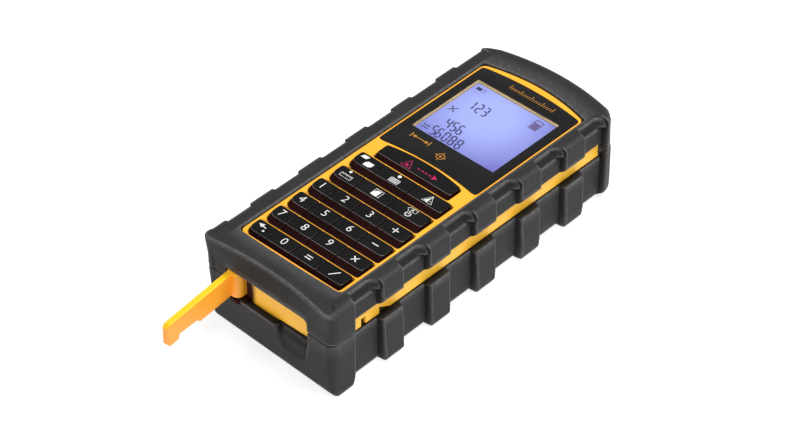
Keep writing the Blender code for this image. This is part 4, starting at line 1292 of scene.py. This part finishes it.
def display():
    """The printed lens with its clear window, the gold mask under it, and the lit image."""
    hole = rounded(*VIEW, 0.4, 3)
    print_plate = plate([crowned(*LENS), hole[::-1]], LENS_LOW, LENS_TOP, edge=0.15)
    mesh_piece("display_print", print_plate, [LENS_PRINT], ROOT,
               ["display_lens"])
    left, near, right, far = VIEW
    clear = plate([rounded(left + 0.02, near + 0.02, right - 0.02, far - 0.02, 0.4, 3)],
                  LENS_TOP - 0.4, LENS_TOP - 0.05)
    mesh_piece("display_clear", clear, [LENS_CLEAR], ROOT)
    inner = rounded(left + 1.05, near + 0.1, right - 0.1, far - 1.15, 0.2, 2)
    mask = plate([hole, inner[::-1]], IMAGE_TOP - 0.5, IMAGE_TOP + 0.1)
    mesh_piece("display_mask", mask, [GOLD], ROOT)
    line = rounded(left + 0.92, near + 0.1, right - 0.1, far - 1.02, 0.2, 2)
    shade = plate([line, inner[::-1]], IMAGE_TOP + 0.1, IMAGE_TOP + 0.13)
    mesh_piece("display_line", shade, [DARK_TRIM_AND_GAP_SHADE], ROOT)
    image = plate([rounded(left + 1.0, near + 0.05, right - 0.05, far - 1.1, 0.2, 2)],
                  IMAGE_TOP - 0.4, IMAGE_TOP)
    mesh_piece("display_image", image, [GLOW], ROOT)


SEGMENTS = {"0": "abcdef", "1": "bc", "2": "abged", "3": "abgcd", "4": "fgbc", "5": "afgcd",
            "6": "afgedc", "7": "abc", "8": "abcdefg", "9": "abcdfg"}
DIGIT_WIDE = 1.75
DIGIT_TALL = 4.9


def seven(digit, x, y, z, lean=-0.17):
    """One seven-segment digit; x is the middle of its foot."""
    left, right, middle, tall = -DIGIT_WIDE / 2, DIGIT_WIDE / 2, DIGIT_TALL / 2, DIGIT_TALL
    if digit == "1":
        right = 0.0
    ends = {"a": ((left, tall), (right, tall)), "b": ((right, tall), (right, middle)),
            "c": ((right, middle), (right, 0)), "d": ((left, 0), (right, 0)),
            "e": ((left, middle), (left, 0)), "f": ((left, tall), (left, middle)),
            "g": ((left, middle), (right, middle))}
    marks = []
    for letter in SEGMENTS[digit]:
        (x1, y1), (x2, y2) = ends[letter]
        trim = 0.22 / math.hypot(x2 - x1, y2 - y1)
        line = [(mix(x1, x2, trim), mix(y1, y2, trim)), (mix(x2, x1, trim), mix(y2, y1, trim))]
        marks.append(stroke([(x + px + lean * py, y + py) for px, py in line], 0.6, z))
    return marks


def lcd_marks():
    z = IMAGE_TOP
    marks = []
    for text, y, places in (("123", 38.1, (-10.2, -7.7, -4.8)),
                            ("456", 24.4, (-10.2, -7.3, -4.6)),
                            ("56088", 18.1, (-11.4, -8.9, -5.8, -2.8, 0.3))):
        for digit, x in zip(text, places):
            marks += seven(digit, x, y, z)
    marks += [stroke([(-16.4, 32.6), (-13.7, 35.5)], 0.46, z),
              stroke([(-16.4, 35.5), (-13.7, 32.6)], 0.46, z),
              stroke([(-17.0, 19.5), (-13.9, 19.5)], 0.5, z),
              stroke([(-17.1, 20.9), (-14.0, 20.9)], 0.5, z)]
    cell = [(-16.7, 48.2), (-12.9, 48.2), (-12.9, 49.7), (-16.7, 49.7)]
    marks += [stroke(cell, 0.22, z, True), patch(rounded(-16.6, 48.3, -14.6, 49.6, 0.05, 1), z)]
    mesh_piece("lcd_marks", joined(marks), [LCD_INK], ROOT)
    sums = [(11.3, 44.6), (14.5, 44.6), (14.5, 49.8), (11.3, 49.8)]
    pad = [stroke(sums, 0.46, z, True)]
    pad += [stroke([(11.4, level), (14.4, level)], 0.48, z) for level in (45.4, 46.3, 47.2)]
    pad += [stroke([(spot, 44.7), (spot, 48.1)], 0.42, z) for spot in (12.4, 13.4)]
    pad.append(stroke([(11.4, 48.1), (14.4, 48.1)], 0.46, z))
    mesh_piece("lcd_calculator", joined(pad), [LCD_VIOLET], ROOT)


def lens_marks():
    """Generic marks printed on the lens: a distance arrow, a target and a scale."""
    z = LENS_TOP
    marks = [stroke([(-15.7, 11.8), (-15.7, 14.4)], 0.42, z),
             stroke([(-7.4, 11.8), (-7.4, 14.4)], 0.42, z),
             stroke([(-14.4, 13.1), (-8.7, 13.1)], 0.4, z),
             patch([(-15.3, 13.1), (-13.8, 12.3), (-13.8, 13.9)], z),
             patch([(-7.8, 13.1), (-9.3, 13.9), (-9.3, 12.3)], z)]
    ring = arc((0.0, 10.8), 1.5, 0, 345, 23)
    marks += [stroke(ring, 0.38, z, True), patch(disc(0.0, 10.8, 0.5), z)]
    marks += [stroke(line, 0.34, z) for line in
              ([(-2.4, 10.8), (-1.0, 10.8)], [(1.0, 10.8), (2.4, 10.8)],
               [(0.0, 11.8), (0.0, 13.2)], [(0.0, 9.8), (0.0, 8.4)])]
    for step in range(21):
        tall = 2.3 if step % 5 == 0 else 1.3
        x = -7.8 + step
        marks.append(stroke([(x, 56.2), (x, 56.2 + tall)], 0.34, z))
    mesh_piece("lens_marks", joined(marks), [ORANGE_INK], ROOT)


# ---------------------------------------------------------------- carried-over CAD nodes

def repaint():
    looks = {"front_housing": CASE_YELLOW, "rear_housing": REAR_YELLOW,
             "key_mat": SILICONE, "lcd_frame": GOLD, "lcd_panel": GLOW,
             "lcd_backlight": DIFFUSER, "main_board": BOARD, "receiver_board": BOARD,
             "buzzer": BLACK_PLASTIC, "battery_holder": BLACK_PLASTIC,
             "battery_door": BLACK_PLASTIC, "optics_holder": BLACK_PLASTIC,
             "battery_cell_left": CELL_JACKET, "battery_cell_right": CELL_JACKET,
             "battery_contact": STEEL, "battery_spring_left": STEEL,
             "battery_spring_right": STEEL, "lever_pin": STEEL, "photodiode": STEEL,
             "laser_emitter": BRASS, "emitter_lens": OPTIC, "receiver_lens": OPTIC,
             "front_window": TINTED}
    for index in range(4):
        looks[f"case_screw_{index + 1}"] = STEEL
    for name, look in looks.items():
        node = NODES[name]
        node.data.materials.clear()
        node.data.materials.append(look)


# ---------------------------------------------------------------- stage

def floor():
    """A plain pale floor, a hair under the feet of the bumpers."""
    low = -0.02
    mesh = new_mesh("floor", [(-1500, -1500, low), (1500, -1500, low), (1500, 1500, low),
                              (-1500, 1500, low)], [(0, 1, 2, 3)])
    look = Look("floor_white", (0.38, 0.38, 0.38), 0.8)
    look.feed({"Emission Color": (1, 1, 1, 1), "Emission Strength": 0.82})
    mesh.materials.append(look.material)
    ground = bpy.data.objects.new("floor", mesh)
    bpy.context.scene.collection.objects.link(ground)


def lamp(name, place, target, size, energy):
    light = bpy.data.lights.new(name, "AREA")
    light.size = size
    light.energy = energy
    holder = bpy.data.objects.new(name, light)
    holder.location = place
    aim = Vector(target) - Vector(place)
    holder.rotation_euler = aim.to_track_quat("-Z", "Y").to_euler()
    bpy.context.scene.collection.objects.link(holder)


def studio():
    world = bpy.data.worlds.new("studio")
    world.use_nodes = True
    world.node_tree.nodes["Background"].inputs["Color"].default_value = (1, 1, 1, 1)
    world.node_tree.nodes["Background"].inputs["Strength"].default_value = 0.25
    bpy.context.scene.world = world
    bpy.context.scene.view_settings.view_transform = "Standard"
    lamp("key", (0.3, 0.2, 1.0), (0, 0, 0.02), 0.5, 11.5)
    lamp("edge", (-0.5, -0.33, 0.77), (0, -0.03, 0.03), 0.2, 1.0)


def camera():
    lens = bpy.data.cameras.new("camera")
    lens.sensor_width = 36.0
    lens.lens = 143.68
    lens.clip_start = 0.01
    viewer = bpy.data.objects.new("camera", lens)
    viewer.location = (0.57005, -0.63476, 0.75290)
    viewer.rotation_euler = [math.radians(angle) for angle in (49.135, -0.443, 42.757)]
    bpy.context.scene.collection.objects.link(viewer)
    bpy.context.scene.camera = viewer


ring_columns = bumper_columns()
upper_bumper(ring_columns)
lower_bumper(ring_columns)
key_caps()
row_gap_shades()
strap_shade_plates()
lever()
key_legends()
display()
lcd_marks()
lens_marks()
repaint()
floor()
studio()
camera()
